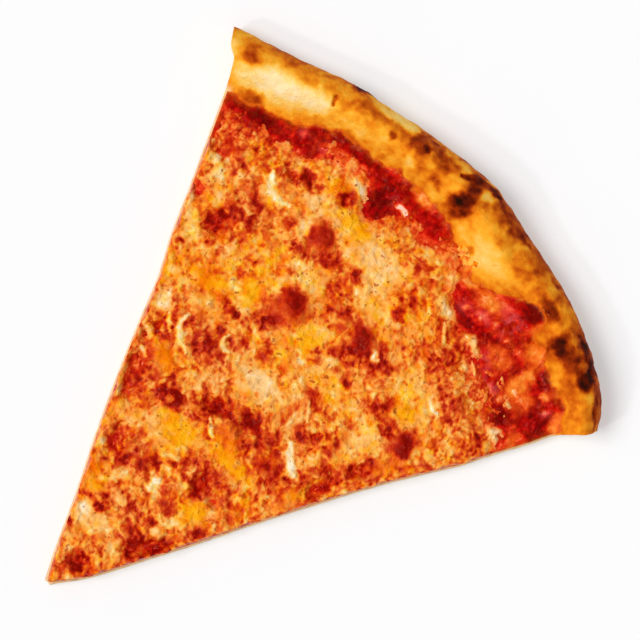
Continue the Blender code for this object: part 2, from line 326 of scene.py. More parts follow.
class Skin:
    """The numbered places of a closed skin, as arrays, and the faces between them.

    depth is 0 on the top and 1 on the underside. side is -1 on the left cut's wall, 1 on the
    right cut's, and 0 elsewhere. A lip sets each row's last point but one this many millimetres
    from the cut, for a crisp edge.
    """

    def __init__(self, rows, top_step, under_step, levels, meets=False, lip=0.0):
        self.parts = []
        self.lip = lip
        self.count = 0
        top_cells = [cells_across(row, top_step(k)) for k, row in enumerate(rows)]
        under_cells = [cells_across(row, under_step(k)) for k, row in enumerate(rows)]
        under_cells[0], under_cells[-1] = top_cells[0], top_cells[-1]
        top = [self.across(row, cells, 0.0) for row, cells in zip(rows, top_cells)]
        under = [self.across(row, cells, 1.0) for row, cells in zip(rows[:-1], under_cells)]
        under.append(top[-1] if meets else self.across(rows[-1], top_cells[-1], 1.0))
        self.faces = []
        for surface in (top, under):
            for near, far in zip(surface, surface[1:]):
                self.faces.extend(zipped(near, far))
        ends = {}
        for side, end in ((-1, 0), (1, -1)):
            lines = [[row[end] for row in top]]
            for k in range(1, levels):
                lines.append(self.along(rows, side, k / levels, top[-1][end] if meets else None))
            lines.append([row[end] for row in under])
            ends[side] = lines
            self.wall(lines)
        for end in (0,) if meets else (0, -1):
            row, cells = rows[end], top_cells[end]
            lines = [top[end]]
            for k in range(1, levels):
                inner = self.between(row, cells, k / levels)
                lines.append([ends[-1][k][end], *inner, ends[1][k][end]])
            lines.append(under[end])
            self.wall(lines)
        self.radius, self.angle, self.depth, self.side = np.concatenate(self.parts, axis=1)
        turn = spread(self.radius, self.angle)
        self.x, self.y = self.radius * np.sin(turn), self.radius * np.cos(turn)
        self.out_x, self.out_y = self.side * np.cos(turn), -self.side * np.sin(turn)

    def add(self, radius, angle, depth, side=0.0):
        """Numbers these places and keeps them."""
        held = [np.full_like(radius, value) for value in (depth, side)]
        self.parts.append(np.stack([radius, angle, *held]))
        numbers = list(range(self.count, self.count + len(radius)))
        self.count += len(radius)
        return numbers

    def across(self, row, cells, depth):
        """A row from cut to cut."""
        angle = np.linspace(-HALF_ANGLE, HALF_ANGLE, cells + 1)
        if self.lip and cells > 3:
            angle[[1, -2]] = angle[[0, -1]] + np.degrees(self.lip / row(angle[[0, -1]])) * (1, -1)
        return self.add(row(angle), angle, depth)

    def between(self, row, cells, depth):
        """A row without its two ends, which the cuts' walls have already."""
        angle = np.linspace(-HALF_ANGLE, HALF_ANGLE, cells + 1)[1:-1]
        return self.add(row(angle), angle, depth)

    def along(self, rows, side, depth, shared_end):
        """A line of places along one cut, which may end at a vertex that it shares."""
        angle = np.array([side * HALF_ANGLE])
        used = rows if shared_end is None else rows[:-1]
        radius = np.array([row(angle)[0] for row in used])
        numbers = self.add(radius, np.full_like(radius, angle[0]), depth, side=float(side))
        return numbers if shared_end is None else [*numbers, shared_end]

    def wall(self, lines):
        """Faces between lines of places that are equally long, from the top line down."""
        for upper, lower in zip(lines, lines[1:]):
            for i in range(len(upper) - 1):
                corners = (upper[i], upper[i + 1], lower[i + 1], lower[i])
                self.faces.append(tuple(dict.fromkeys(corners)))


trial = Skin([level(10.0), level(12.0)], top_step=lambda k: 1.0, under_step=lambda k: 2.0, levels=2)
print("a small skin has", trial.count, "places and", len(trial.faces), "faces")

# %% [markdown]
# A skin is only numbers until a mesh holds it. The values that the finish needs are stored at the
# mesh's points, where shaders and Geometry Nodes read them by name. A ragged layer folds over itself
# in places, and there the outside can be guessed wrongly, so the faces are turned over whenever the
# volume that they enclose comes out below nothing.

# %% From a skin to an object
def mesh_piece(name, skin, x, y, z, **attributes):
    """Makes the skin an object, with its place in its mesh and these values stored at its points."""
    mesh = bpy.data.meshes.new(name)
    points = np.stack([(x + APEX[0]) * MM, (y + APEX[1]) * MM, z * MM], axis=1)
    mesh.from_pydata(points.tolist(), [], skin.faces)
    bm = bmesh.new()
    bm.from_mesh(mesh)
    bmesh.ops.recalc_face_normals(bm, faces=bm.faces)
    if bm.calc_volume(signed=True) < 0:
        bmesh.ops.reverse_faces(bm, faces=bm.faces)
    volume = bm.calc_volume(signed=True) / MM**3 / 1000
    bm.to_mesh(mesh)
    bm.free()
    for key, values in attributes.items():
        stored = mesh.attributes.new(key, "FLOAT", "POINT")
        stored.data.foreach_set("value", np.ascontiguousarray(values, dtype=np.float32))
    mesh.shade_smooth()
    piece = bpy.data.objects.new(name, mesh)
    bpy.context.scene.collection.objects.link(piece)
    triangles = sum(len(face) - 2 for face in skin.faces)
    print(name, "has", len(points), "points,", triangles, "triangles and", round(volume, 1), "ml")
    return piece

# %% [markdown]
# ## Heights of the dough
# The dough is thin under the toppings, swells into the rim with its crest a little past the middle,
# and rounds off to its widest line a little below half its height. Below that line it is tucked
# under. Bubbles that baked into the rim are low domes on it.

# %% The dough's top and underside
DENT = 0.3
RIM_BUBBLES = (
    (-71.0, 154.0, 6.0, 0.7), (-38.0, 167.5, 6.0, 0.9), (-17.0, 171.0, 6.0, 1.5), (2.5, 170.5, 5.0, 1.6),
    (17.0, 163.5, 8.0, 1.3), (33.0, 170.0, 5.0, 0.8), (52.5, 161.0, 4.5, 1.4), (64.5, 160.5, 5.0, 1.3),
)


def rim_edge(angle):
    """The row that the rim ends at: the solid's edge, with shallow dents and small ones."""
    small = DENT * hills(3.0 * angle, np.full_like(angle, 0.3), 4.0, 88)
    return through(RIM_REACH, angle) + through(RIM_WANDER, angle) + small


def rim_share(radius, angle):
    """How far over the rim a place is: 0 or less inside its foot, 1 at its widest line."""
    foot = through(RIM_FOOT, angle)
    return (radius - foot) / (rim_edge(angle) - foot)


def dough_top(radius, angle, x, y):
    share = np.clip(rim_share(radius, angle), 0, 1)
    base = through(BASE_THICKNESS, radius)
    height = through(RIM_HEIGHT, angle)
    inner = base + (height - base) * smooth(share / RIM_CREST)
    over = np.clip((share - RIM_CREST) / (1 - RIM_CREST), 0, 1)
    outer = height * (RIM_WIDEST + (1 - RIM_WIDEST) * np.sqrt(1 - over * over))
    puffed = np.sin(math.pi * share) * bumps(x, y, RIM_BUBBLES)
    return np.where(share <= RIM_CREST, inner, outer) + puffed


def dough_bottom(radius, angle):
    share = np.clip(rim_share(radius, angle), 0, 1)
    over = np.clip((share - RIM_UNDERSIDE) / (1 - RIM_UNDERSIDE), 0, 1)
    return RIM_WIDEST * through(RIM_HEIGHT, angle) * (1 - np.sqrt(1 - over * over))


middle = np.zeros(1)
rim_ends = through(RIM_FOOT, middle)[0], rim_edge(middle)[0]
print("the rim's foot and edge in the middle, mm:", [round(end, 1) for end in rim_ends])

# %% [markdown]
# ## Node trees, written as sums
# Materials and Geometry Nodes are both trees of nodes. One small class wraps a node's output so that
# it can stand in an expression, where each operator adds one Math node, and a second class adds any
# other node: its settings first, then the values or links of its sockets.

# %% A wrapper for sockets and one for trees
class Link:
    """A node's output that can be reckoned with."""

    def __init__(self, nodes, socket):
        self.nodes, self.socket = nodes, socket

    def other(self, name):
        """Another output of the same node."""
        return Link(self.nodes, self.socket.node.outputs[name])

    def __add__(self, value):
        return self.nodes.math("ADD", self, value)

    def __sub__(self, value):
        return self.nodes.math("SUBTRACT", self, value)

    def __mul__(self, value):
        return self.nodes.math("MULTIPLY", self, value)

    def __rsub__(self, value):
        return self.nodes.math("SUBTRACT", value, self)

    __radd__ = __add__
    __rmul__ = __mul__


class Nodes:
    """A tree of nodes in the making."""

    def __init__(self, tree):
        self.tree = tree
        self.tree.nodes.clear()

    def add(self, kind, settings=None, sockets=None, output=0):
        made = self.tree.nodes.new(kind)
        settings = dict(settings or {})
        stops = settings.pop("stops", None)
        for key, value in settings.items():
            setattr(made, key, value)
        if stops:
            elements = made.color_ramp.elements
            for k, (position, colour) in enumerate(stops):
                element = elements[k] if k < len(elements) else elements.new(position)
                element.position, element.color = position, colour
        for key, value in (sockets or {}).items():
            if isinstance(value, Link):
                self.tree.links.new(value.socket, made.inputs[key])
            else:
                made.inputs[key].default_value = value
        return Link(self, made.outputs[output]) if made.outputs else None

    def math(self, operation, *values, clamp=False):
        settings = {"operation": operation, "use_clamp": clamp}
        return self.add("ShaderNodeMath", settings, dict(enumerate(values)))

    def between(self, value, low, high):
        """0 where the value is below low, 1 above high, and smooth between them."""
        sockets = {"Value": value, "From Min": low, "From Max": high}
        return self.add("ShaderNodeMapRange", {"interpolation_type": "SMOOTHSTEP"}, sockets)


# %% [markdown]
# A material is one more tree. It reads the values stored at the points, adds noise laid out in the
# piece's own coordinates, and ends in one shader. Colours are given as they look on a screen, which
# is how one judges them by eye, and turned into the linear ones that shaders reckon with.

# %% Colours and materials
TRANSLUCENT = {"Subsurface_Weight": 0.08, "Subsurface_Scale": 0.8 * MM}


def tint(red, green, blue):
    """A colour given as it looks on a screen, from 0 to 255, as the linear one that shaders use."""
    shares = [value / 255 for value in (red, green, blue)]
    linear = [v / 12.92 if v <= 0.04045 else ((v + 0.055) / 1.055) ** 2.4 for v in shares]
    return (*linear, 1.0)


class Finish(Nodes):
    """A material in the making, on a piece's own coordinates in metres."""

    def __init__(self, name):
        self.material = bpy.data.materials.new(name)
        self.material.use_nodes = True
        super().__init__(self.material.node_tree)
        self.place = self.add("ShaderNodeTexCoord", output="Object")

    def stored(self, name):
        return self.add("ShaderNodeAttribute", {"attribute_name": name}, output="Fac")

    def noise(self, size, detail=2.0):
        """Cloudy noise with patches about this many millimetres wide, from 0 to 1."""
        sockets = {"Vector": self.place, "Scale": 1 / (size * MM), "Detail": detail}
        return self.add("ShaderNodeTexNoise", None, sockets, "Fac")

    def uneven(self, size, amount, detail=2.0):
        """Cloudy noise that adds and takes away up to about half this amount."""
        return (self.noise(size, detail) - 0.5) * amount

    def veins(self, size, width, seed):
        """Thin winding lines through patches about this many millimetres wide, 1 along their middle."""
        sockets = {"Vector": self.place, "W": seed, "Scale": 1 / (size * MM), "Detail": 2.0}
        cloud = self.add("ShaderNodeTexNoise", {"noise_dimensions": "4D"}, sockets, "Fac")
        return 1.0 - self.between(self.math("ABSOLUTE", cloud - 0.5), 0.0, width)

    def ramp(self, value, stops):
        return self.add("ShaderNodeValToRGB", {"stops": stops}, {"Fac": value}, "Color")

    def mix(self, first, second, share):
        sockets = {0: share, 6: first, 7: second}
        return self.add("ShaderNodeMix", {"data_type": "RGBA"}, sockets, 2)

    def done(self, bump, bump_depth, **sockets):
        """Closes the material: a Principled shader with these sockets and a bump in millimetres."""
        bumped = {"Height": bump, "Distance": bump_depth * MM, "Strength": 1.0}
        named = {key.replace("_", " "): value for key, value in sockets.items()}
        named["Normal"] = self.add("ShaderNodeBump", None, bumped)
        shader = self.add("ShaderNodeBsdfPrincipled", None, named)
        self.add("ShaderNodeOutputMaterial", None, {"Surface": shader})
        print(self.material.name, "is a tree of", len(self.tree.nodes), "nodes")
        return self.material


print("golden crust as shaders see it:", [round(v, 3) for v in tint(250, 180, 62)])

# %% [markdown]
# ## Fine relief
# A baked surface is grainy as well as lumpy. The grain follows a rule, noise along the surface's own
# normals, so Geometry Nodes make it: one tree that serves all three layers, with the grain's size
# and height as inputs. The amount comes from the points' own `rough` value, so that oily pools stay
# calm and foamy cheese does not. The tree also stores the grain for the material to use.

# %% The tree that roughens a surface
def inputs_of(tree, **kinds):
    """Gives a Geometry Nodes tree its named inputs and its output, and returns their identifiers."""
    found = {}
    for name, kind in kinds.items():
        label = name.replace("_", " ").capitalize()
        found[name] = tree.interface.new_socket(label, in_out="INPUT", socket_type=kind).identifier
    tree.interface.new_socket("Geometry", in_out="OUTPUT", socket_type="NodeSocketGeometry")
    return found


RELIEF = bpy.data.node_groups.new("fine_relief", "GeometryNodeTree")
RELIEF_INPUTS = inputs_of(
    RELIEF,
    geometry="NodeSocketGeometry",
    grain_size="NodeSocketFloat",
    grain_height="NodeSocketFloat",
    seed="NodeSocketFloat",
    finish="NodeSocketMaterial",
)
n = Nodes(RELIEF)
given = n.add("NodeGroupInput")
roughness = n.add("GeometryNodeInputNamedAttribute", {"data_type": "FLOAT"}, {"Name": "rough"})
scale = n.math("DIVIDE", 1.0, given.other("Grain size"))
noise_sockets = {"Vector": n.add("GeometryNodeInputPosition"), "W": given.other("Seed"), "Scale": scale}
grain = n.add("ShaderNodeTexNoise", {"noise_dimensions": "4D"}, {**noise_sockets, "Detail": 3.0})
kept = n.add(
    "GeometryNodeStoreNamedAttribute",
    {"data_type": "FLOAT", "domain": "POINT"},
    {"Geometry": given, "Name": "grain", "Value": grain},
)
height = (grain - 0.5) * given.other("Grain height") * roughness
offset = n.add(
    "ShaderNodeVectorMath",
    {"operation": "SCALE"},
    {"Vector": n.add("GeometryNodeInputNormal"), "Scale": height},
)
moved = n.add("GeometryNodeSetPosition", None, {"Geometry": kept, "Offset": offset})
real = n.add("GeometryNodeRealizeInstances", None, {"Geometry": moved})
dressed = n.add("GeometryNodeSetMaterial", None, {"Geometry": real, "Material": given.other("Finish")})
n.add("NodeGroupOutput", None, {"Geometry": dressed})


def grown(piece, tree, identifiers, **values):
    """Runs a Geometry Nodes tree on the piece and keeps the result as its plain mesh."""
    modifier = piece.modifiers.new(tree.name, "NODES")
    modifier.node_group = tree
    for name, value in values.items():
        modifier[identifiers[name]] = value
    evaluated = piece.evaluated_get(bpy.context.evaluated_depsgraph_get())
    mesh = bpy.data.meshes.new_from_object(evaluated)
    piece.modifiers.remove(modifier)
    for slot in reversed(range(len(mesh.materials))):
        if mesh.materials[slot] is None:
            mesh.materials.pop(index=slot)
    piece.data = mesh
    return piece


print("relief tree:", len(RELIEF.nodes), "nodes, inputs", list(RELIEF_INPUTS))

# %% [markdown]
# ## Edges of a cut
# A pizza wheel never leaves a clean wedge: the toppings draw back a little from the cut and the
# soft dough stands out below them by about a millimetre. So each layer is drawn in from the cuts by
# its own amount, at its top and at its underside, and the amount fades away over a few millimetres
# towards the middle of the slice.

# %% Drawing a layer in from its cuts
DRAW_FADE = 1.5


def to_cut(skin):
    """The distance from the nearer cut, in millimetres."""
    return skin.radius * np.radians(HALF_ANGLE - abs(skin.angle))


def drawn_in(skin, top_amount, under_amount=0.0):
    """The places of a skin once it is drawn in from the cuts, by millimetres at its top and underside."""
    amount = top_amount * (1 - skin.depth) + under_amount * skin.depth
    pull = amount * np.exp(-to_cut(skin) / DRAW_FADE) * np.sign(skin.angle)
    turn = spread(skin.radius, skin.angle)
    from_tip = amount * np.exp(-(skin.radius - TIP_RADIUS) / DRAW_FADE)
    return skin.x - pull * np.cos(turn), skin.y + pull * np.sin(turn) + from_tip


print("of what a layer is drawn in,", round(math.exp(-3 / DRAW_FADE), 2), "is left 3 mm from the cut")

# %% [markdown]
# ## The sauce's height
# Cooked sauce is a coarse pulp. It lies thick under the cheese and climbs the inside of the rim,
# where it thins out along a ragged line. Its height is reckoned as a thickness over the dough, and
# where that falls below nothing the dough shows instead, which gives the ragged line by itself.

# %% Thickness of the sauce
SAUCE_LOBES = (
    (-50, 149.6, 4, 1.4, -0.2, 20), (-40, 157.8, 5.5, 1.8, 0.9, 24), (-31, 159, 4, 1, 0.5),
    (-36, 157.2, 3, 1.6, 1, 10), (-16, 162.4, 1.6, 2.4, 0.8), (-10, 161.6, 2, 1.4, -0.2),
    (-3, 161.6, 4, 1.8, 0.8), (41, 164.2, 4.8, 3.6, 1), (31.5, 161, 3, 3, 0.8), (47.5, 160, 3, 5, -0.5),
    (57.6, 152.6, 4.2, 2.8, 0.8), (66, 150, 4, 2.5, 0.7), (62, 154.6, 3, 1, -0.3),
)
SAUCE_RUN = 5.0
ENDING_DROP = 2.0


def sauce_over_dough(radius, angle, x, y):
    left = through(SAUCE_EDGE, angle) - radius + 0.9 * clouds(x, y, 4.0, 14)
    thick = (SAUCE_THICKNESS + 0.5) * smooth((left + 2.5) / 6.0) - 0.5
    thick = painted(thick, *ragged(x, y, 0.8, 4.0, 11), SAUCE_LOBES, 1.4)
    pulp = 0.28 * clouds(x, y, 3.4, 12) + 0.10 * hills(x, y, 1.2, 13)
    ending = ENDING_DROP * smooth((0.5 - left) / 3.0)
    return thick + pulp * smooth(thick / 0.9) - ending


along_middle = np.arange(20.0, 160.0, 20.0)
depths = sauce_over_dough(along_middle, 0 * along_middle, 0 * along_middle, along_middle)
print("sauce along the middle, mm:", depths.round(1))

# %% [markdown]
# ## The crust's browning
# The rim carries the oven's history: floury and pale where it faced up beside the sauce, golden over
# the crest, brown where a bubble stood proud, and charred where it touched the heat. One value,
# `bake`, holds that story at each point, from 0 for pale flour to 1 for char, and the material turns
# it into colour. The larger marks run round the rim from left to right and finer ones follow them.

# %% Browning marks on the rim
BAKE_MARKS = (
    (-60, 152.5, 15, 5, 0.13, 24), (-49, 157.5, 6, 2.6, 0.08, 24), (-60, 153, 6, 2.5, 0.04, 20),
    (-50, 150, 5, 1.6, 0.34, 24), (-41, 157, 4, 1.6, 0.34, 26), (-77, 152, 3, 3, 0.22),
    (-76, 156.5, 6, 2.5, 0.36, 24), (-71.5, 154.2, 4, 3.2, 0.44, 30), (-71.2, 153, 2.6, 1.8, 0.54, 20),
    (-56, 162.3, 6, 2.2, 0.46, 26), (-57, 162.8, 3, 1.4, 0.52, 10), (-47, 165.5, 5, 2, 0.4, 22),
    (-37.5, 168, 5, 3.4, 0.5), (-38, 167.4, 2.6, 2.4, 0.56), (-41, 170.6, 3.2, 0.9, 0.86, 20),
    (-28, 164, 9, 4, 0.33, 12), (-26, 167.2, 1.1, 1.3, 0.66), (-36, 161, 7, 1.6, 0.28, 14),
    (-14.5, 172.6, 6.8, 2.8, 0.6, 8), (-18.8, 171.8, 2.6, 3.2, 0.7, -30), (-9.6, 173, 3, 2.2, 0.65),
    (-16, 171.8, 1.2, 1, 0.82), (-14, 172.2, 0.5, 2, 0.52, 10), (-5.8, 167.3, 1.4, 0.8, 0.6),
    (-16.5, 165.5, 2, 1.4, 0.26), (-5, 164.5, 4, 1.6, 0.28), (-4, 170, 2.5, 3.5, 0.38),
    (1.8, 168.7, 4.6, 3, 0.66, 46.8), (2, 168.7, 3.2, 1.9, 0.9, 46.8), (2.2, 174.2, 2.4, 1.8, 0.7, 30),
    (9.5, 170, 3.6, 5, 0.36), (6.2, 175, 2.4, 1.4, 0.24, 15), (10.5, 175.4, 1.8, 1.2, 0.6),
    (18, 164.5, 8.5, 6, 0.28), (19, 163, 5, 4, 0.22), (14, 161, 1.4, 1, 0.48),
    (15.5, 173.8, 4, 2.2, 0.54), (18.6, 173.6, 1.6, 2, 0.7, 20), (25, 172.4, 4, 2.2, 0.5),
    (32, 170.3, 1.4, 2.2, 0.66), (21.5, 169.6, 5, 2.2, 0.42), (42, 170, 9, 2.6, 0.44, -12),
    (38.5, 172.6, 2.6, 0.8, 0.74, -10), (26, 166, 5, 3, 0.3), (46.5, 163, 2, 4, 0.52),
    (47.5, 157, 2.5, 3, 0.44), (60, 162.8, 7.5, 3.4, 0.7, -32), (52.8, 160.2, 2.8, 3.9, 0.84, 46.8),
    (64.4, 160.4, 2.4, 3.6, 0.86, 20), (52.9, 159.9, 1.8, 2.5, 1, 46.8), (48.2, 163, 1, 1.2, 0.5),
    (54, 164.6, 3, 0.8, 0.46, -20), (57.6, 163.6, 1.6, 1, 0.52, -30), (61, 163.2, 0.9, 1.6, 0.56, 30),
    (61.8, 161, 0.9, 0.8, 0.6), (60.5, 156.8, 4.5, 1.6, 0.38, -10), (70.5, 154.5, 4.6, 3.2, 0.38, -45),
    (64, 154.5, 5, 1.4, 0.52), (75, 150, 3, 3, 0.4, -40), (-31, 171.6, 6, 1.6, 0.22, 10),
    (-11, 176.2, 5, 1.2, 0.38, 6), (33, 167, 7, 2.6, 0.46), (44, 164, 2.4, 3, 0.62),
    (-1.6, 171.8, 1.8, 1.2, 0.44, 40), (57.4, 159.6, 4.2, 2.8, 0.74, -20),
    (60.2, 161.6, 1, 1.8, 0.58, 30), (65, 158.6, 2.2, 2.2, 0.86), (52, 157, 2.4, 1.4, 0.56),
    (41.4, 166, 5, 1.8, 0.72, -12), (-25, 173, 6, 1.6, 0.2, 8), (-5, 176.2, 4, 1.4, 0.36),
    (-43.2, 166.2, 2.4, 1.8, 0.32), (3.8, 165.8, 2.4, 1.6, 0.76, 46.8), (50.4, 156, 2, 1.6, 0.58),
    (-62.5, 145.2, 3.4, 1.8, 0.6, 24),
)
CRACK = ((-45.6, 163.2), (-44.2, 160.8))
BAKE_STROKES = (
    (0.9, 0.62, CRACK),
    (1.2, 0.68, ((-20.8, 170.2), (-19.4, 173.0), (-15.4, 174.8))),
    (1.3, 0.82, ((-3.6, 173.6), (-1.0, 175.6), (3.6, 177.4), (9.0, 177.6))),
    (1.1, 0.70, ((9.0, 177.0), (15.0, 175.8), (20.0, 174.8), (25.0, 174.2))),
    (0.9, 0.80, ((54.0, 166.8), (57.0, 165.9), (62.0, 163.8), (66.5, 160.8))),
    (0.9, 0.68, ((67.0, 160.6), (71.6, 156.8), (76.6, 151.6))),
)
print(len(BAKE_MARKS) + len(BAKE_STROKES), "marks on the rim")

# %% [markdown]
# ## The crust's skin
# The crust has fine rows on the rim, where it is seen, and coarse ones under the toppings. The rim's
# rows crowd together towards its widest line, where the surface turns down. Top and underside share
# that last row, so the rim has no wall of its own. Only its cut ends have walls.

# %% The crust's rows
RIM_STEP = 0.5
HIDDEN_RUN = -7.0
INNER_PART = 0.56
hidden_rows = rows_between(level(TIP_RADIUS), curve(SAUCE_EDGE, HIDDEN_RUN), np.linspace(0, 1, 215))
inner_shares = np.linspace(0, INNER_PART, 32)[1:]
outer_shares = INNER_PART + (1 - INNER_PART) * np.sin(np.linspace(0, math.pi / 2, 30)[1:])
rim_rows = rows_between(curve(SAUCE_EDGE, HIDDEN_RUN), rim_edge, [*inner_shares, *outer_shares])
skin = Skin(
    hidden_rows + rim_rows,
    top_step=lambda k: 3.0 if k < len(hidden_rows) else RIM_STEP,
    under_step=lambda k: 1.5 if k < len(hidden_rows) else 2 * RIM_STEP,
    levels=12,
    meets=True,
    lip=0.3,
)
print("crust:", len(hidden_rows), "coarse rows and", len(rim_rows), "fine ones")

# %% [markdown]
# Now each point learns how long it baked. On the rim's outer side a point hardly moves sideways as it
# goes down, so patches laid out from above would run down it as stripes. There the patches are read
# at a place that slides along with the height. Beside the sauce the dough is stained and stays soft.

# %% How each point of the crust baked
x, y = drawn_in(skin, 0.35 + 0.25 * hills(skin.radius, skin.side, 5.0, 21))
share = np.clip(rim_share(skin.radius, skin.angle), 0, 1)
over_rim = smooth(share / 0.25) * smooth((1 - share) / 0.2)
outer_wall = smooth((share - 0.86) / 0.12)
over_z = dough_top(skin.radius, skin.angle, x, y)
under_z = dough_bottom(skin.radius, skin.angle)
rise = over_z * (1 - skin.depth) + under_z * skin.depth
down = 0.8 * outer_wall * (rise - 10.0)
wx, wy = ragged(x, y, 0.55, 2.2, 31)
wx = wx + 2.4 * outer_wall * clouds(3.0 * skin.angle, 1.2 * rise, 5.0, 40)
bake = 0.44 + 0.10 * clouds(x + down, y + down, 9.0, 32) + 0.12 * smooth((share - 0.55) / 0.45)
bake = bake + (-0.02 + 0.14 * hills(x + down, y + down, 6.0, 37)) * smooth((share - 0.92) / 0.08)
bake = painted(bake, wx, wy, BAKE_MARKS, 1.3)
bake = stroked(bake, wx, wy, BAKE_STROKES)
mottling = 0.075 + 0.14 * clouds(x + down, y + down, 5.0, 36) + 0.06 * hills(x + down, y + down, 1.7, 39)
bake = bake + mottling * smooth((bake - 0.15) / 0.3)
near_sauce = smooth((sauce_over_dough(skin.radius, skin.angle, x, y) + 0.5) / 0.5) * (1 - skin.depth)
near_sauce = near_sauce * smooth(to_cut(skin) / 1.2)
bake = bake + 0.9 * near_sauce * (0.56 - bake)
print("bake from", bake.min().round(2), "to", bake.max().round(2))

# %% [markdown]
# The heights come last, because a charred blister is rougher and lower than the skin round it. The cut
# faces get crumb: bubbles of two sizes are pressed into them, the large ones only where the dough is
# thick, and their depth is stored too, so that the finish can shade them.

# %% The crust's heights, crumb and mesh
lumps = 0.45 * clouds(x, y, 10.0, 33) + 0.16 * clouds(x, y, 3.0, 34)
lumps = lumps + 0.9 * smooth((bake - 0.62) / 0.3) * hills(x, y, 2.4, 35) - 0.5 * smooth((bake - 0.55) / 0.3)
crease = stroked(np.zeros_like(x), x, y, [(0.7, 0.6, CRACK)])
top_z = over_z + over_rim * (lumps - crease)
z = top_z * (1 - skin.depth) + under_z * skin.depth

thick = top_z - under_z
inside = smooth(np.minimum(skin.depth, 1 - skin.depth) * thick / 0.9) * abs(skin.side)
crumb_place = skin.radius + 200 * skin.side, z * 1.5
holes = 0.7 * pits(*crumb_place, 2.0, 41) + 1.5 * pits(*crumb_place, 5.2, 42) * smooth(thick / 12)
bulge = inside * (0.15 * clouds(*crumb_place, 3.0, 43) - holes)
x = x + bulge * skin.out_x
y = y + bulge * skin.out_y
bare_edge = smooth(1.4 - to_cut(skin) / 2.0) * (1 - smooth(share / 0.15)) * (1 - skin.depth)
tucked = smooth((1 - share) / 0.16 * (1.2 + 0.8 * clouds(x, y, 7.0, 38)))
blistered = 0.5 + smooth((bake - 0.5) / 0.3)
crust_values = {
    "bake": bake,
    "crumb": np.maximum(inside, 0.85 * bare_edge),
    "hole": holes * inside,
    "underside": skin.depth * (1 - abs(skin.side)) * tucked,
    "stain": near_sauce,
    "rough": smooth(share / 0.25) * (1 - skin.depth) * blistered + 0.35 * skin.depth,
}
crust = mesh_piece("baked_crust", skin, x, y, z, **crust_values)

# %% [markdown]
# ## The sauce
# The bare sauce is not one red. It is darkest where it dried against the rim, bright where it stayed
# wet and thick, and pink where light catches its skin, which is painted into its colour. The value
# `dark` goes from 0 for a painted pink glint to 1 for dried sauce. `amber` says where oil and melted
# cheese have turned it orange, `sheen` where a pink sheen of caught light is painted over its wet
# skin, and `film` where it thins out over the dough.

# %% Marks on the sauce
SAUCE_MARKS = (
    (-58, 142.8, 10, 3, 0.88, 14), (-57, 143.2, 5, 1.8, 1, 14), (-65, 139, 3, 2.5, 0.66),
    (-43, 148.6, 5.5, 4.5, 0.78, 30), (-41, 154.5, 6, 3, 0.82, 26), (-29, 157.6, 9, 2.6, 0.84, 4),
    (-37, 150.6, 1.6, 1.2, 0.44), (-30, 153.4, 5, 1.4, 0.42, 10), (-18.5, 157.6, 5, 2.6, 0.8),
    (-20, 161, 4, 1.2, 0.5), (-15.8, 161.6, 1.6, 2.2, 0.6), (-14.2, 151.6, 4, 5.6, 0.98, 10),
    (-21.4, 144.4, 1.8, 2.4, 0.84), (-10, 158, 4, 2, 0.8), (-1, 159, 7, 3.6, 0.68),
    (4.5, 158.4, 3.4, 2, 0.72), (1, 153.8, 3, 1.6, 0.48), (24, 151.6, 3, 3, 0.66, -20),
    (-65, 141.6, 4, 2.4, 0.86, 14), (30, 160, 3.4, 2.6, 0.62), (33, 156.6, 3.4, 2.4, 0.4, -20),
    (41, 163.4, 4.2, 4.4, 1.08), (38, 154, 2.8, 3.6, 0.66), (45, 152.4, 3.6, 1.8, 0.72, -10),
    (25.4, 148.8, 1.6, 1.8, 0.56), (28, 146.4, 4.6, 1.8, 0.92, -10), (36, 147.4, 5, 1.5, 0.84, 4),
    (37, 143.6, 2.6, 2, 0.7), (31, 150.4, 2.4, 1.2, 0.36), (43, 145.6, 4.2, 2.8, 0.46),
    (49.2, 146.6, 1.4, 3.4, 0.8, -20), (57.8, 151.2, 3.4, 2.8, 0.92, -20), (65, 149.6, 4, 2.4, 0.84),
    (60.6, 147.4, 1.4, 1.4, 0.32), (64, 141.5, 4.8, 4.6, 0.86), (67, 138, 3, 3, 0.9),
    (57, 136.4, 6.4, 1.8, 0.74, 14), (56, 133.6, 3.2, 2.4, 0.96), (49, 138.4, 4, 2, 0.8, -20),
    (63.6, 132.4, 2, 3, 0.52, 26), (52.6, 144.6, 2.4, 4.6, 0.34, 10), (49.5, 154.6, 3.4, 2.2, 0.34),
    (60.5, 155.2, 4, 1.2, 0.32), (68.6, 146.6, 2, 2.6, 0.34, -30), (57.6, 142.6, 2.2, 1.8, 0.42),
    (53.4, 149.4, 1.6, 1.2, 0.22), (43.6, 149.6, 3.6, 0.9, 0.84, 8), (55.4, 146, 1.2, 2.4, 0.7, 30),
    (46, 150.8, 1.6, 0.9, 0.34), (-42.5, 112.5, 3.6, 3.4, 0.72), (-54.5, 115.5, 3.6, 2.4, 0.42, -20),
    (28.8, 155, 3, 2.2, 0.32), (44.4, 160.2, 1.4, 2.4, 0.44), (20, 155.4, 3, 2, 0.2),
    (-6.5, 161.6, 3.6, 1.3, 0.24), (-37, 153.4, 2.6, 1.2, 0.7, 20), (-36, 157, 3, 1.6, 0.86, 10),
    (69.2, 143.2, 1.8, 1.6, 0.3),
)
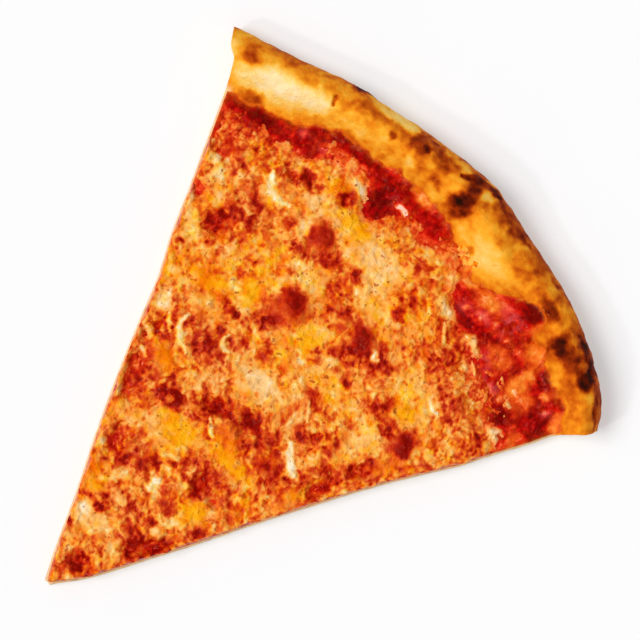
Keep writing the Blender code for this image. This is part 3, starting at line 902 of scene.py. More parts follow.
AMBER_MARKS = (
    (-50, 142, 22, 4, 0, 16), (-25, 156, 20, 5, 0, 6), (-14, 152, 5, 7, 0), (-40, 148, 6, 4, 0, 20),
    (-30, 153, 5, 1.4, 0.35, 10), (0, 158, 8, 4, 0), (14, 157, 7, 4, 0.9), (22, 151.5, 3.4, 3.6, 0),
    (33, 159, 6, 5, 0.05), (40, 159, 4, 7, 0), (27, 156, 4, 1.6, 0.6), (30, 148, 9, 3, 0),
    (43, 145.6, 4.2, 2.8, 0.55), (52.5, 145, 3, 6, 1), (49.5, 154, 4, 3.4, 1), (60, 155, 5, 1.6, 0.9),
    (57, 151.6, 3.4, 2.8, 0, -20), (65, 149.2, 4.4, 2.6, 0.05), (61, 148.4, 1.6, 2.4, 0.8),
    (64, 140, 5, 6, 0), (56.5, 134.6, 6, 3.4, 0), (68.5, 146.5, 2.6, 3, 0.8, -30),
    (57.5, 142.5, 3, 2.4, 0.6), (63.6, 132, 2, 3, 0.6, 26), (49.2, 146.6, 1.6, 3.4, 0.1, -20),
    (38, 141, 4, 4, 0), (28.8, 155.2, 3.2, 2.4, 1), (44.4, 160.2, 1.6, 2.6, 0.8),
    (20, 155.4, 3.4, 2.4, 1), (-6.5, 161.6, 3.8, 1.5, 1), (69.2, 143.2, 2, 1.8, 0.9),
    (41, 163.4, 3.6, 4, 0),
)
# Glints painted into the sauce's colour: small pale pink highlights on its wet skin.
SAUCE_GLINTS = (
    (-8, 154.8, 2.9, 0.9, -0.1), (25.4, 148.6, 0.9, 1.1, 0.3), (30.6, 150.4, 0.9, 1.2, 0.2),
    (35, 151.6, 0.8, 1.1, 0.24, 30), (47.2, 137.4, 1.5, 1.4, 0.16), (63.6, 144.6, 1, 1, 0.12),
    (51.6, 137.4, 0.8, 1.1, 0.2), (-56.6, 137.9, 1.3, 0.8, 0.24, 20), (-44.4, 149.6, 0.8, 1, 0.26),
    (-25.2, 155, 1.3, 0.8, 0.26), (33, 157.6, 1.2, 0.9, 0.24), (-41.6, 143.8, 0.8, 1, 0.22),
    (-36.8, 151.2, 0.9, 0.7, 0.22), (40.4, 151, 0.7, 1, 0.24),
)
# Pink sheens of caught light, painted into the sauce's colour over its wet skin.
PAINTED_SHEENS = (
    (38, 154.4, 2.8, 3.6, 0.9), (33.4, 157.2, 2.4, 1.8, 0.4), (25.4, 148.6, 2, 2, 0.4),
    (30.8, 150.4, 2.2, 1.6, 0.8), (-37, 150.8, 1.8, 1.6, 0.6), (47, 137.6, 2.4, 2, 0.9),
    (40, 142.4, 3.4, 1.6, 0.7, -30), (-45, 149.4, 1.6, 1.6, 0.5), (63.4, 144.4, 1.8, 1.6, 0.7),
    (-11, 154.8, 2, 1.4, 0.6),
)

SAUCE_TABLES = SAUCE_MARKS, AMBER_MARKS, SAUCE_GLINTS, PAINTED_SHEENS
print(sum(len(marks) for marks in SAUCE_TABLES), "marks on the sauce")

# %% [markdown]
# The sauce's skin starts from the dough's height and adds the thickness. Where that is less than
# nothing the skin dips below the dough and is hidden. Its pulp is a patchwork of granules, each with
# a shade of its own and raised a little.

# %% The sauce's mesh
UNDER_SAUCE = 1.2
sauce_rows = rows_between(level(TIP_RADIUS), curve(SAUCE_EDGE, SAUCE_RUN), np.linspace(0, 1, 276))
skin = Skin(sauce_rows, top_step=lambda k: 0.6, under_step=lambda k: 4.0, levels=4)
x, y = drawn_in(skin, 0.95, 1.0)
dough = dough_top(skin.radius, skin.angle, x, y)
thick = np.maximum(sauce_over_dough(skin.radius, skin.angle, x, y), -2.2)
z = dough + thick * (1 - skin.depth) + (np.minimum(thick, 0) - UNDER_SAUCE) * skin.depth
wx, wy = ragged(x, y, 0.6, 2.4, 51)
dark = 0.66 + 0.17 * clouds(x, y, 4.5, 52) - 0.25 * np.minimum(thick - 1.1, 0.4)
dark = painted(dark, wx, wy, SAUCE_MARKS, 1.1)
pulp_inside, pulp_number = granules(wx, wy, 2.2, 54)
# Painted shade: the seams between the pulp's granules, which lie lower, are made darker.
dark = dark + 0.12 * clouds(x, y, 1.8, 53) + 0.14 * pulp_number + 0.10 * (0.6 - pulp_inside)
amber = painted(0.15 + 0.4 * clouds(x, y, 5.0, 55), wx, wy, AMBER_MARKS, 1.2) + 0.35 * pulp_number
dark = painted(dark, wx, wy, SAUCE_GLINTS)
film = (1 - smooth((thick + 0.1) / 0.9)) * (1 - skin.depth)
# Along each cut the sauce's edge also takes the film's browner colour, partly painted shade for the groove
# between dough and toppings.
film = np.maximum(film, 0.7 * np.exp(-to_cut(skin) / 0.7) * (1 - skin.depth))
z = z + 0.25 * (pulp_inside - 0.5) * (1 - skin.depth) * smooth(thick / 0.9)
sauce_values = {
    "dark": dark,
    "amber": np.clip(amber, 0, 1),
    "sheen": painted(np.zeros_like(x), wx, wy, PAINTED_SHEENS, 1.4),
    "film": film,
    "rough": (1 - skin.depth) * (1 - film) * (1 - 0.5 * smooth((dark - 0.65) / 0.2)),
}
sauce = mesh_piece("cooked_sauce", skin, x, y, z, **sauce_values)

# %% [markdown]
# ## The cheese
# Melted cheese is the piece that the eye goes to. Three fields describe it. Its thickness over the
# sauce decides its height, and where it falls below nothing the sauce shows, so bare patches, thin
# films and loose granules all come from one field. Its tone, from 0 for white milk fat to 1 for
# scorched, follows the oven. Its colour runs from creamy to golden, as oil gathers in it. This first
# step is the thickness: marks where it is thin or thick, domes for blisters, ridges for strings.

# %% Where the cheese is thick or thin
COVER_MARKS = (
    (-60, 134, 5, 6, 0.45), (-57, 129, 3.5, 4, 0.25), (-64.5, 131.5, 2, 3.5, -0.5, 24),
    (-52, 139, 5, 2.6, 0.55), (-42.5, 148, 6, 4, -0.35, 24), (-36, 152, 5, 2.4, 0.05, 10),
    (-26, 153, 5, 2, 0.45), (-14.5, 151.5, 3.8, 5.5, -0.6, 14), (-21.4, 144.6, 1.7, 2.4, 0.4),
    (-10, 153.5, 2.6, 2, -0.3), (-3, 155, 3.5, 1.8, 0.2), (1, 153.5, 2.6, 1.8, -0.15),
    (13, 157, 7, 3.6, 0.3), (18.5, 151, 4, 4.5, 0.8), (23, 151.6, 4.6, 3.8, -0.6),
    (28, 147.5, 5, 2, -0.3), (33, 152.5, 9, 3.6, -0.15), (39, 148.5, 4.5, 3, -0.25),
    (43, 146.5, 3, 2, 0.35), (45.5, 141.5, 4, 2.6, 0), (52, 143.5, 4.2, 3.6, 0.65),
    (59.5, 146.5, 3, 2.2, 0.2), (54.4, 139.2, 2.8, 2, 0.9, 20), (57.8, 129.6, 2.4, 1.8, 0.9, 20),
    (63.5, 141, 4.2, 5.5, -0.4), (56.5, 133.8, 4.4, 2.8, -0.25), (50.5, 137.5, 3, 2, -0.1),
    (62.5, 131, 2.2, 3, -0.2, -26), (46, 134, 6.5, 3.2, 0.75, -20), (34.5, 142.8, 4, 1.8, 1, -10),
    (-33, 141.8, 4, 2, 0.35, -15), (-38, 138.6, 1.8, 1.8, 0.4), (-42.5, 112.5, 3.6, 3.6, 0.15),
    (-54.6, 115.6, 3.4, 2.2, -0.5, -20), (-33.6, 74.4, 1.7, 2, 0.05), (-28, 66, 3, 6.4, 0.25, 26),
    (-25.6, 60, 1.8, 2.6, 0.15, 10), (-30.5, 69, 2, 2.4, 0.15), (-16.5, 46.8, 2.8, 4.6, 0.25, 20),
    (-17.5, 50, 2.8, 1.8, 0.35), (2.2, 14.8, 3.4, 2.6, 0.25), (13.2, 33, 2.2, 6.4, 0.15, -28),
    (9.5, 28.5, 2, 2.6, 0.35, -20), (-57, 139.6, 2.4, 1.2, -0.4, 14), (-45, 142, 3, 1.8, 0.6, 14),
    (9.6, 56.4, 2.2, 3.8, 0.15, 10), (16.8, 55, 2.2, 1.1, 0.05), (7, 78.6, 2.6, 3.8, 0.35, 15),
    (-4, 75.2, 3.6, 2, 0.25, 15), (-32.5, 79, 1.8, 2, 0.55), (34.5, 81, 2.2, 4.4, 0.35, -28),
    (35.5, 86, 2.2, 2.6, 0.55, -28), (38.5, 92.5, 1.6, 3.2, 0.6, -26),
)
BLISTERS = (
    (-10.3, 111.0, 6.4, 1.9), (-18.5, 132.0, 5.2, 1.5), (12.0, 120.5, 4.5, 1.2), (42.5, 107.5, 4.5, 1.1),
    (29.5, 110.0, 4.5, 0.9), (-37.0, 119.0, 4.5, 0.8), (-14.5, 67.5, 4.2, 0.9), (-6.5, 31.0, 3.8, 0.8),
    (-3.0, 130.5, 3.6, 0.7), (13.0, 133.5, 3.8, 0.7), (20.5, 88.0, 4.0, 0.7), (-4.0, 97.0, 4.0, 0.7),
    (43.5, 126.0, 4.0, 0.8), (-17.0, 86.0, 5.0, 0.8),
)
PALE_STROKES = (
    (1.25, 0.06, ((-42.2, 135.0), (-40.8, 132.4), (-38.8, 130.7), (-35.0, 130.4), (-31.7, 131.4))),
    (1.0, 0.10, ((-29.0, 88.4), (-28.6, 84.4), (-25.0, 81.4), (-21.0, 80.0))),
    (0.7, 0.14, ((-16.4, 92.4), (-16.2, 90.0), (-14.2, 88.6), (-12.6, 89.0))),
    (1.2, 0.10, ((19.0, 84.2), (22.0, 81.0), (27.0, 78.2))),
    (1.2, 0.08, ((-24.0, 150.8), (-20.0, 149.8), (-16.2, 148.6))),
    (0.8, 0.12, ((-2.4, 72.0), (-0.4, 70.2), (2.4, 68.4))),
    (0.7, 0.20, ((-33.0, 84.4), (-31.0, 82.2), (-28.6, 80.8))),
    (0.7, 0.18, ((-32.0, 71.6), (-28.6, 70.4))),
    (0.6, 0.22, ((24.6, 141.0), (28.6, 136.6))),
    (0.6, 0.22, ((38.0, 139.4), (41.6, 137.2))),
    (0.6, 0.24, ((14.0, 96.4), (18.0, 92.0))),
)
STRING_HEIGHT = 0.35
STRING_RIDGES = [(1.2 * width, 1.0, line) for width, _, line in PALE_STROKES]
CHEESE_RUN = 10.0
CURD_TURN = math.radians(-40)
CURD_STRETCH = 1.4


def curds(radius, angle, x, y):
    """Lumps of melted shreds, drawn out one way and crumbled near the edge, and their streaks."""
    wx, wy = ragged(x, y, 0.8, 2.6, 81)
    along = wx * math.cos(CURD_TURN) + wy * math.sin(CURD_TURN)
    across = wy * math.cos(CURD_TURN) - wx * math.sin(CURD_TURN)
    coarse, coarse_number = granules(along / CURD_STRETCH, across, 3.2, 82)
    fine, fine_number = granules(along / CURD_STRETCH, across, 1.8, 83)
    streaks = 0.7 * hills(along / 2.0, across, 1.9, 84) + 0.5 * hills(along / 1.5, across, 1.1, 85)
    crumbled = 0.35 + 0.5 * smooth((radius - through(CHEESE_EDGE, angle) + 9.0) / 8.0)
    lump = coarse + crumbled * (fine - coarse)
    return lump, coarse_number + crumbled * (fine_number - coarse_number), streaks


def cheese_over_ground(radius, angle, x, y):
    """How thick the cheese is, in millimetres; below 0 it leaves the sauce bare."""
    left = through(CHEESE_EDGE, angle) - radius
    thick = (CHEESE_THICKNESS + 0.4) * smooth((left + 4.0) / 13.0) - 0.6
    wx, wy = ragged(x, y, 0.8, 3.0, 61)
    thick = painted(thick, wx, wy, COVER_MARKS, 1.2)
    swells = 0.35 * clouds(x, y, 11.0, 62) + 0.22 * hills(x, y, 4.5, 63)
    lump, number, streaks = curds(radius, angle, x, y)
    loose = (0.36 * number + 0.25 * hills(x, y, 2.2, 64)) * (1 - smooth((thick - 0.3) / 1.2))
    relief = (0.40 * (lump - 0.6) - 0.42 * streaks) * smooth(0.35 + thick)
    ending = ENDING_DROP * smooth((3.5 - CHEESE_RUN - left) / 3.0)
    strings = STRING_HEIGHT * stroked(np.zeros_like(x), x, y, STRING_RIDGES)
    return thick + swells * smooth(thick) + relief + loose + bumps(x, y, BLISTERS) + strings - ending


depths = cheese_over_ground(along_middle, 0 * along_middle, 0 * along_middle, along_middle)
print("cheese along the middle, mm:", depths.round(1))

# %% [markdown]
# ## The cheese's tone
# The broad marks come first, the fields of cream, gold and orange that one sees with half-closed
# eyes. Over them come the browned spots, roughly from the rim to the tip, with dark arcs round the
# edges of blisters, browned and painted darker on the side away from the light as the dome's shade,
# and last the palest places: folds, strings and drops where the milk fat set white, and painted
# highlights where wet fat catches the light. Pools are calm places with oil on them. The last table
# says where the cheese is golden with oil, up to 1, and where it stayed creamy, down to 0.

# %% Tones of the cheese
BROAD_TONES = (
    (-55, 132, 9, 8, 0.62, 20), (-40, 131, 9, 7, 0.5), (-22, 140, 13, 6, 0.36),
    (0, 139.5, 14, 6.5, 0.3), (-22, 149, 9, 4, 0.46), (0, 149, 10, 4.5, 0.52), (12, 154, 9, 4, 0.45),
    (14, 142, 6, 6, 0.54), (30, 136, 9, 9, 0.7, -20), (46, 128, 10, 8, 0.56, -20),
    (1, 121.5, 10, 5, 0.64, -24), (15, 118.5, 11, 6, 0.68, -15), (33, 119, 10, 6.5, 0.36, -20),
    (52, 118, 6, 8, 0.58, -20), (9, 129, 8, 4, 0.36), (-50, 118, 6, 9, 0.44, 24),
    (-38, 121, 7, 5, 0.64), (-27, 118, 7, 8, 0.46), (-30, 108, 5, 6, 0.38), (-16, 119.6, 4, 3, 0.36),
    (-17, 111, 3, 6, 0.34), (-21, 104, 6, 5, 0.38), (-46, 104, 6, 7, 0.44, 26), (-32, 99, 9, 5, 0.5),
    (1, 110, 6, 5, 0.36), (2, 102, 10, 5, 0.38), (18, 104, 9, 6, 0.4), (33, 99, 7, 7, 0.36, -20),
    (44, 98, 5, 7, 0.63, -26), (38, 91, 5, 6, 0.64, -26), (22, 92, 8, 6, 0.6, -30), (0, 89, 9, 5, 0.3),
    (-10, 96, 7, 5, 0.48), (-20, 86, 10, 6, 0.62), (-36, 88, 6, 6, 0.52, 26), (-34, 95, 5, 4, 0.46),
    (-12, 78, 7, 4, 0.48), (-26, 74, 7, 5, 0.56), (-30, 80, 6, 3, 0.66), (10, 77, 12, 6, 0.68),
    (30, 77, 5, 6, 0.64, -26), (33, 83, 5, 6, 0.66, -26), (-4, 73, 7, 4, 0.68), (-20, 66, 8, 5, 0.68),
    (0, 66.5, 12, 3.4, 0.42, 5), (-10, 58, 11, 5, 0.38), (10, 58, 10, 5, 0.66),
    (24, 62, 4, 6, 0.54, -26), (-14, 48, 8, 4.5, 0.68), (2, 46, 7, 4.5, 0.58), (15, 47, 5, 5, 0.44),
    (2, 36, 8, 5, 0.6), (-13, 36, 3.5, 6, 0.48, 26), (13, 33, 4, 7, 0.8, -26), (-5, 26, 6, 4, 0.34),
    (5, 25, 5, 4, 0.44), (1, 16, 6, 6, 0.66), (0, 6.5, 3.5, 3.5, 0.54), (-11, 123, 4.5, 5, 0.36),
    (-28, 94, 5, 4, 0.4), (-42, 91, 3, 4, 0.36, 26), (20.5, 134, 4, 5, 0.42), (19, 150, 3, 5, 0.38),
    (59, 128, 3.5, 3.5, 0.3), (-22.5, 47, 2, 6, 0.44, 26), (-28.5, 58, 2, 6, 0.46, 26),
    (-5, 18, 3, 3.5, 0.38, 20), (33, 92, 3, 4, 0.4, -26), (-62, 133, 3, 6, 0.52, 26),
    (46, 119.4, 3, 3, 0.68), (-10, 100, 4, 2.4, 0.64), (16, 68.5, 4, 3, 0.56),
    (18, 43, 2.4, 3, 0.6, -26), (28, 141, 4, 3, 0.68), (-39, 105, 3, 4, 0.52),
)
BROWN_SPOTS = (
    (-21.4, 144.4, 2.2, 2.4, 0.84), (-42.6, 112.8, 3.8, 4.4, 0.84, -20),
    (-34, 141.6, 4.4, 2.4, 0.8, -15), (-38, 138.6, 2.4, 2, 0.76), (-27.8, 67, 2.6, 6, 0.75, 26),
    (-26, 60, 2, 2.6, 0.84, 10), (-15.4, 47.4, 2.8, 4.6, 0.78, 20), (34.5, 82, 2.6, 5, 0.7, -28),
    (38, 92, 2, 4, 0.78, -26), (14, 32.4, 2.4, 5.4, 0.86, -28), (-30, 84.5, 3, 4, 0.74),
    (22, 73, 4, 3.4, 0.74, -20), (3, 73, 5, 2, 0.66), (-38, 136.8, 4, 1.6, 0.66),
    (-47, 137, 1.4, 0.9, 0.72), (-27, 127.5, 2.4, 1.8, 0.82), (-18.5, 132, 4.6, 3.8, 0.84, -20),
    (-20, 131, 2.4, 2.2, 0.9), (-12.5, 129, 3.4, 2.6, 0.82, 25), (-15, 126.8, 2, 1.6, 0.84),
    (-3, 131, 2.1, 2.4, 0.82), (-2.2, 130, 1.2, 1, 0.9), (-3.5, 123.8, 2.2, 3.4, 0.8, 20),
    (13.2, 133.6, 2.4, 1.9, 0.8), (12, 137, 4, 1.6, 0.62, 10), (36.8, 132.4, 1.4, 0.9, 0.74),
    (42.6, 127.2, 2.2, 2.4, 0.8), (46.2, 123.6, 1.8, 2.4, 0.82), (28, 133, 3, 3, 0.75),
    (33, 136, 5, 3, 0.64), (-37.5, 119.6, 4.4, 1.3, 0.84, -20), (-42, 117.4, 2, 2.2, 0.84),
    (-39, 123.4, 3, 1.6, 0.78), (-19.6, 124.4, 3.6, 1.8, 0.8, 10), (-28, 112, 1.8, 1.4, 0.72),
    (-27.5, 107, 1.6, 1.3, 0.72), (-17, 119, 2, 1.2, 0.66), (-11.2, 110.4, 6.4, 5, 0.85, 46.8),
    # Next, at (-11, 109.6): the lighter middle of the big blister, a painted highlight on its dome.
    (-11, 109.6, 2.4, 2, 0.76), (-10.2, 106.4, 3, 1.3, 0.86), (-11.8, 102.8, 3, 1.9, 0.95, 15),
    (-14.6, 101.6, 1.8, 1.2, 0.84, -30), (11.6, 120, 2.8, 4.2, 1, 12), (15.4, 118.8, 1.8, 1.8, 0.97),
    (21.6, 119.2, 2.2, 1.6, 0.92), (17.5, 122.4, 2.4, 1.2, 0.82, -10), (17, 115.8, 3.4, 1.6, 0.8),
    (8, 111.4, 2.4, 1.2, 0.72), (12, 113, 3, 2, 0.72), (12, 108.4, 1.6, 1, 0.66),
    (17.4, 108, 1.8, 1.4, 0.68), (30.8, 112.6, 2, 2.6, 0.76), (28.6, 109, 3, 2, 0.82),
    (42.2, 108, 3, 4, 0.92, 18), (43, 107.2, 2.2, 2.8, 1.12, 18), (36, 108, 4, 2, 0.74),
    (48, 112, 2.4, 1.6, 0.6), (-46.6, 101, 1.2, 1.3, 0.78), (-45, 98.8, 1.1, 0.7, 0.76),
    (-22.4, 98.2, 2.6, 1.3, 0.82), (-19, 98.4, 1.4, 1, 0.94), (-5, 97.2, 3.4, 2.2, 0.72, -25),
    (5.6, 107.4, 1.8, 1.6, 0.66), (12.8, 99.2, 2.6, 1.3, 0.74, -10), (14.8, 97.6, 1.4, 1.4, 0.76),
    (27, 101, 2.4, 1.6, 0.66), (32, 97.4, 0.8, 0.7, 0.84), (20.8, 88, 2, 1.7, 0.84, -30),
    (27.6, 92.8, 1.8, 1.5, 0.8), (29, 90.2, 1.8, 0.9, 0.8, -30), (25.8, 86.8, 0.9, 0.8, 0.8),
    (37.8, 91, 1.2, 2.6, 0.84, -20), (-27.6, 86.6, 1.6, 2.6, 0.9), (-17, 86.6, 4, 1.8, 0.84),
    (-20.6, 84, 2.6, 2.6, 0.8), (-18.6, 91.4, 2.6, 1.6, 0.82, -20), (-13.8, 92, 1.6, 2, 0.8),
    (-11.4, 94.6, 1.4, 1.6, 0.76), (-32.6, 79, 1.6, 1.6, 0.86), (6.8, 79, 3, 4.2, 0.86, 15),
    (2.2, 76.4, 2.6, 1.4, 0.84), (-5.5, 73.8, 3, 1.8, 0.9, 20), (-3, 76.6, 2, 1.8, 0.92),
    (15.5, 78, 2.4, 2.4, 0.72), (18, 74, 4, 3, 0.76), (-14.6, 67.4, 3.4, 2.5, 0.89),
    (-17.6, 66.4, 1.2, 1.2, 0.94), (-18.2, 72.4, 1, 1, 0.84), (-5.6, 69.4, 2.2, 1.2, 0.78),
    (1, 68, 1.2, 1.8, 0.66), (8, 62.4, 1.8, 1.5, 0.84), (2.6, 58.6, 1.6, 1.6, 0.8),
    (9.8, 56.6, 2.6, 4, 1, 10), (-13, 53.4, 1.8, 1.8, 0.7), (-4, 51.4, 1.8, 1.8, 0.82),
    (-6, 48.4, 1.6, 2.2, 0.86), (-10.8, 46.8, 2.6, 1.4, 0.76), (8, 44.5, 2.6, 2, 0.72),
    (20.6, 46, 1.3, 3, 0.86, -26), (0, 38, 1.8, 1.3, 0.84), (7.6, 38.2, 1.8, 1.6, 0.78),
    (-6.4, 38, 1, 0.9, 0.76), (5, 32.6, 2.6, 1.5, 0.84, 10), (-6.4, 31.4, 3, 2.3, 0.84),
    (-5.4, 30.6, 1.3, 1.1, 0.93), (9.6, 28.4, 2.2, 2.8, 0.86, -26), (-9.2, 20.6, 1.1, 1.1, 0.8),
    (1, 22, 3, 1.2, 0.66), (2.8, 15.2, 4, 3, 0.87), (-1.5, 9, 2, 2, 0.66),
    (-8.8, 114.2, 2.2, 1.8, 1.02), (-11.2, 103, 2.2, 1.9, 0.98), (7.4, 147.2, 5, 2, 0.66, 40),
    (56.4, 125.4, 1.8, 2.8, 0.82, -26), (-53, 129, 2.6, 2, 0.68), (-14, 84.4, 2.2, 1.8, 0.8),
    (-17, 60, 2.4, 2.2, 0.66), (26, 130.6, 2.6, 2, 0.76), (55, 121.4, 2.2, 2.2, 0.74),
    (-57, 139.4, 2.6, 1.2, 0.86, 14),
)
# Dark arcs along the side of each tall blister that faces away from the light: browning, with the dome's
# shade painted into it.
SCORCH_AND_SHADE_ARCS = (
    (1.3, 0.94, ((-16.6, 109.6), (-14.6, 113.0), (-11.4, 114.6), (-8.4, 114.2), (-7.0, 111.6))),
    (1.4, 0.88, ((-22.2, 131.2), (-20.2, 133.4), (-17.4, 134.2), (-15.2, 132.8))),
    (1.2, 0.88, ((-17.4, 66.0), (-16.0, 69.0), (-13.0, 69.4), (-11.4, 67.6))),
)
# Pale spots: drops where the milk fat set white, and painted highlights where wet fat catches the light.
PALE_SPOTS_AND_HIGHLIGHTS = (
    (-54, 124, 4, 1.5, 0.1, -20), (-57, 125, 1.8, 1.6, 0.16), (-48, 118, 2, 2.2, 0.2),
    (-50, 108.6, 2, 2, 0.2, 20), (-45.4, 105, 2.4, 2.2, 0.18), (-42, 93.4, 1.8, 1.5, 0.2, 20),
    (-37.4, 85.8, 2, 2.4, 0.08, 26), (-16.6, 121.4, 2.4, 1.5, 0.16), (-12, 120, 4, 1.6, 0.22, -10),
    (-17, 112, 1.5, 2.6, 0.18), (-25, 103.4, 2, 1.2, 0.14, -10), (-21, 103, 2, 1, 0.18),
    (-11, 98.6, 1.8, 1.8, 0.2), (0, 89.4, 6, 2.6, 0.2), (9.6, 96, 2.2, 1.6, 0.2),
    (2.8, 103.4, 2.6, 0.9, 0.12, -15), (32.6, 98.6, 2.6, 2, 0.32), (31, 103.4, 4, 1.2, 0.16, -25),
    (37.4, 100.8, 2.6, 1, 0.2, -35), (32, 117.8, 2, 1.5, 0.18), (40.4, 121.2, 3.2, 1, 0.02, -25),
    (17.6, 119.6, 1.7, 1, 0.04, -25), (50, 111, 1.8, 1.4, 0.2), (3, 113, 2.6, 2, 0.24),
    (57.8, 129.4, 2.2, 1.4, 0.1, 20), (54.4, 139.2, 2.2, 1.3, 0.22, 20), (38, 136.8, 1.8, 1, 0.12),
    (35, 142.8, 3.2, 1, 0.18, -20), (23.5, 144, 3, 1.2, 0.2, -15), (41, 140.4, 2.4, 0.7, 0.22, -20),
    (1.5, 129, 2.4, 1.4, 0.24), (-24, 130.5, 1.6, 3.4, 0.22, 10), (-22, 150.2, 3, 1.2, 0.2, -8),
    (-18.8, 142.2, 1.6, 1, 0.24), (-2, 140, 6, 3, 0.22), (3, 142, 3, 1.5, 0.2),
    (-27, 137.5, 3, 2, 0.24), (5.5, 152, 2, 2, 0.28), (12.4, 148.6, 1.4, 0.8, 0.3, 20),
    (-34, 146.5, 2, 1.2, 0.34), (-40, 142.4, 3.4, 1.1, 0.26, 12), (-13.6, 61.8, 2, 1.6, 0.26),
    (19.4, 65.6, 1.4, 0.6, 0.16, -30), (5.4, 57.4, 0.7, 1.8, 0.22, 20), (7.2, 52.6, 1.8, 1.6, 0.26),
    (0.4, 46.8, 1.7, 2.2, 0.02, 25), (2.9, 45.2, 1.9, 1.6, 0.18), (-8, 42.4, 1.8, 1.6, 0.2),
    (12.4, 42.4, 1.1, 3, 0.22, -20), (11, 37, 1.4, 1.2, 0.24), (-3, 36.4, 2.2, 1.4, 0.26),
    (-19.4, 44, 1.4, 1.2, 0.12, 30), (-8, 26.6, 2.6, 2, 0.12), (0.6, 27.4, 1.6, 0.9, 0.2),
    (-6, 23.6, 2.4, 1.2, 0.2), (6.6, 23.4, 2.4, 1.2, 0.3, -35), (-14, 57.5, 4, 2, 0.32),
    (-0.6, 34, 1.8, 0.9, 0.32), (-19.5, 77.5, 2.6, 1.2, 0.3), (-13, 74, 2, 1.4, 0.3),
    (25.5, 79, 2.6, 1.5, 0.06, -30), (60.2, 128.2, 2.2, 1.7, 0.16), (51.6, 117.4, 1.9, 1.6, 0.2),
    (0, 20, 2, 1.4, 0.36), (-45, 142, 2.6, 1.3, 0.42, 14), (14.4, 125.4, 2.4, 1.2, 0.4),
    (-24, 52.4, 1.4, 2.4, 0.4, 26), (-27.6, 57.6, 1.4, 2.2, 0.24, 26), (13.2, 39.2, 1.8, 1.4, 0.46),
    (-1.2, 31.2, 1.6, 1.5, 0.36),
)
POOLS = (
    (-6, 63, 6.5, 3.2, 0.36, 15), (12.5, 67, 7, 2, 0.36), (15, 50, 3.4, 2.6, 0.38),
    (-14, 142, 4.5, 2.4, 0.38), (0.5, 108.6, 3.4, 3, 0.38), (-20.5, 105.4, 2.6, 3, 0.42),
    (-25, 74, 4, 3, 0.54), (-32, 99.5, 6, 2.2, 0.52), (-15, 35, 2.6, 4.6, 0.5, 26),
    (5, 72, 4, 2.6, 0.56), (43.5, 99.5, 2.2, 4.4, 0.62, -26), (0, 5.5, 2.2, 1.6, 0.46),
    (36, 115, 3.4, 2.4, 0.42), (-12, 64, 3, 1.6, 0.44), (-40, 76, 2, 4, 0.62, 26),
    (-46, 90, 1.6, 3, 0.48, 26), (31, 73, 2, 3, 0.52, -26),
)
BUTTER_MARKS = (
    (-26, 146, 4, 3, 0.95), (-13, 141, 6.5, 3.5, 1), (15, 137, 7, 5, 0.85), (20, 147, 4, 3, 0.7),
    (-23, 113, 6, 8, 0.85), (-28, 104, 6, 6, 0.85), (-30, 99, 5, 3, 1), (-20, 106, 2.5, 3.5, 1),
    (-41, 95, 5, 6, 0.8, 26), (0, 108, 4.5, 5, 0.95), (-2, 98, 6, 4, 0.8), (17, 103, 8, 4, 0.75),
    (34, 116, 4.5, 5, 0.85), (-45, 136, 4, 5, 0.7), (-49, 112, 3, 6, 0.65, 24), (-24, 76, 7, 3, 0.75),
    (9, 68, 8, 3, 1), (-6, 62, 5, 4.5, 1), (0, 56, 7, 3, 0.8), (13, 49, 4, 3.5, 1),
    (24, 61, 4.5, 4, 0.85, -26), (-12.5, 36, 3, 5, 0.85, 26), (32, 76, 2.5, 4, 0.8, -26),
    (33, 130, 5, 3, 0.6), (41, 138, 8, 3, 0, -35), (34.5, 145, 3, 3, 0), (23, 144, 3, 2.5, 0),
    (16.5, 120, 4.5, 3, 0), (-22, 87, 5, 4, 0.05, -30), (-13, 92, 4, 3, 0.1),
    (-37, 87, 2.5, 3.5, 0, 26), (24, 80, 5, 3, 0, -30), (0, 36, 5, 4.5, 0.1), (-8, 47, 3, 3, 0.1),
    (5, 57, 2.6, 3, 0.1), (13.5, 55, 2.5, 2, 0.1), (-50, 128, 7, 3, 0.1), (-17, 133, 6, 3, 0.15),
    (14, 89, 4, 7, 0.1), (42, 126, 9, 5, 0.15, -20), (-10, 80, 4, 5, 0.1), (-28, 66, 3.5, 6, 0.1, 26),
    (0, 27, 6, 3, 0.15), (-40, 123, 5, 3, 0.2), (0, 89.5, 7, 3, -0.2), (-8, 26, 3, 2.6, -0.1),
    (-2, 140, 6, 3, 0), (-27, 137.5, 4, 2.4, 0.1),
)

OIL = [(*pool[:4], 1.0, *pool[5:]) for pool in POOLS]
print(len(BROAD_TONES) + len(BROWN_SPOTS) + len(PALE_SPOTS_AND_HIGHLIGHTS) + len(POOLS) + len(BUTTER_MARKS), "marks")

# %% [markdown]
# ## The cheese's skin
# Now the fields meet in one skin, the finest of the three. Each field is read where a point lies
# before the layer is drawn in from the cuts, so that a mark keeps its place. Pools of oil are calm,
# and so are the domes of the tall blisters.

# %% The cheese's points and its calm places
cheese_rows = rows_between(level(TIP_RADIUS), curve(CHEESE_EDGE, CHEESE_RUN), np.linspace(0, 1, 346))
skin = Skin(cheese_rows, top_step=lambda k: 0.45, under_step=lambda k: 4.0, levels=6)
x, y = skin.x, skin.y
cover = cheese_over_ground(skin.radius, skin.angle, x, y)
wx, wy = ragged(x, y, 0.7, 2.6, 71)
lump, number, streaks = curds(skin.radius, skin.angle, x, y)
wet = painted(0.25 + 0.25 * hills(x, y, 7.0, 77), wx, wy, OIL)
calm = painted(np.zeros_like(x), wx, wy, OIL, 1.2)
tall = [(*dome[:3], 1.6 * dome[3]) for dome in BLISTERS if dome[3] > 1.0]
domes = np.clip(bumps(x, y, tall), 0, 1)
print("calm share:", np.mean(calm > 0.5).round(3), "domed share:", np.mean(domes > 0.5).round(3))
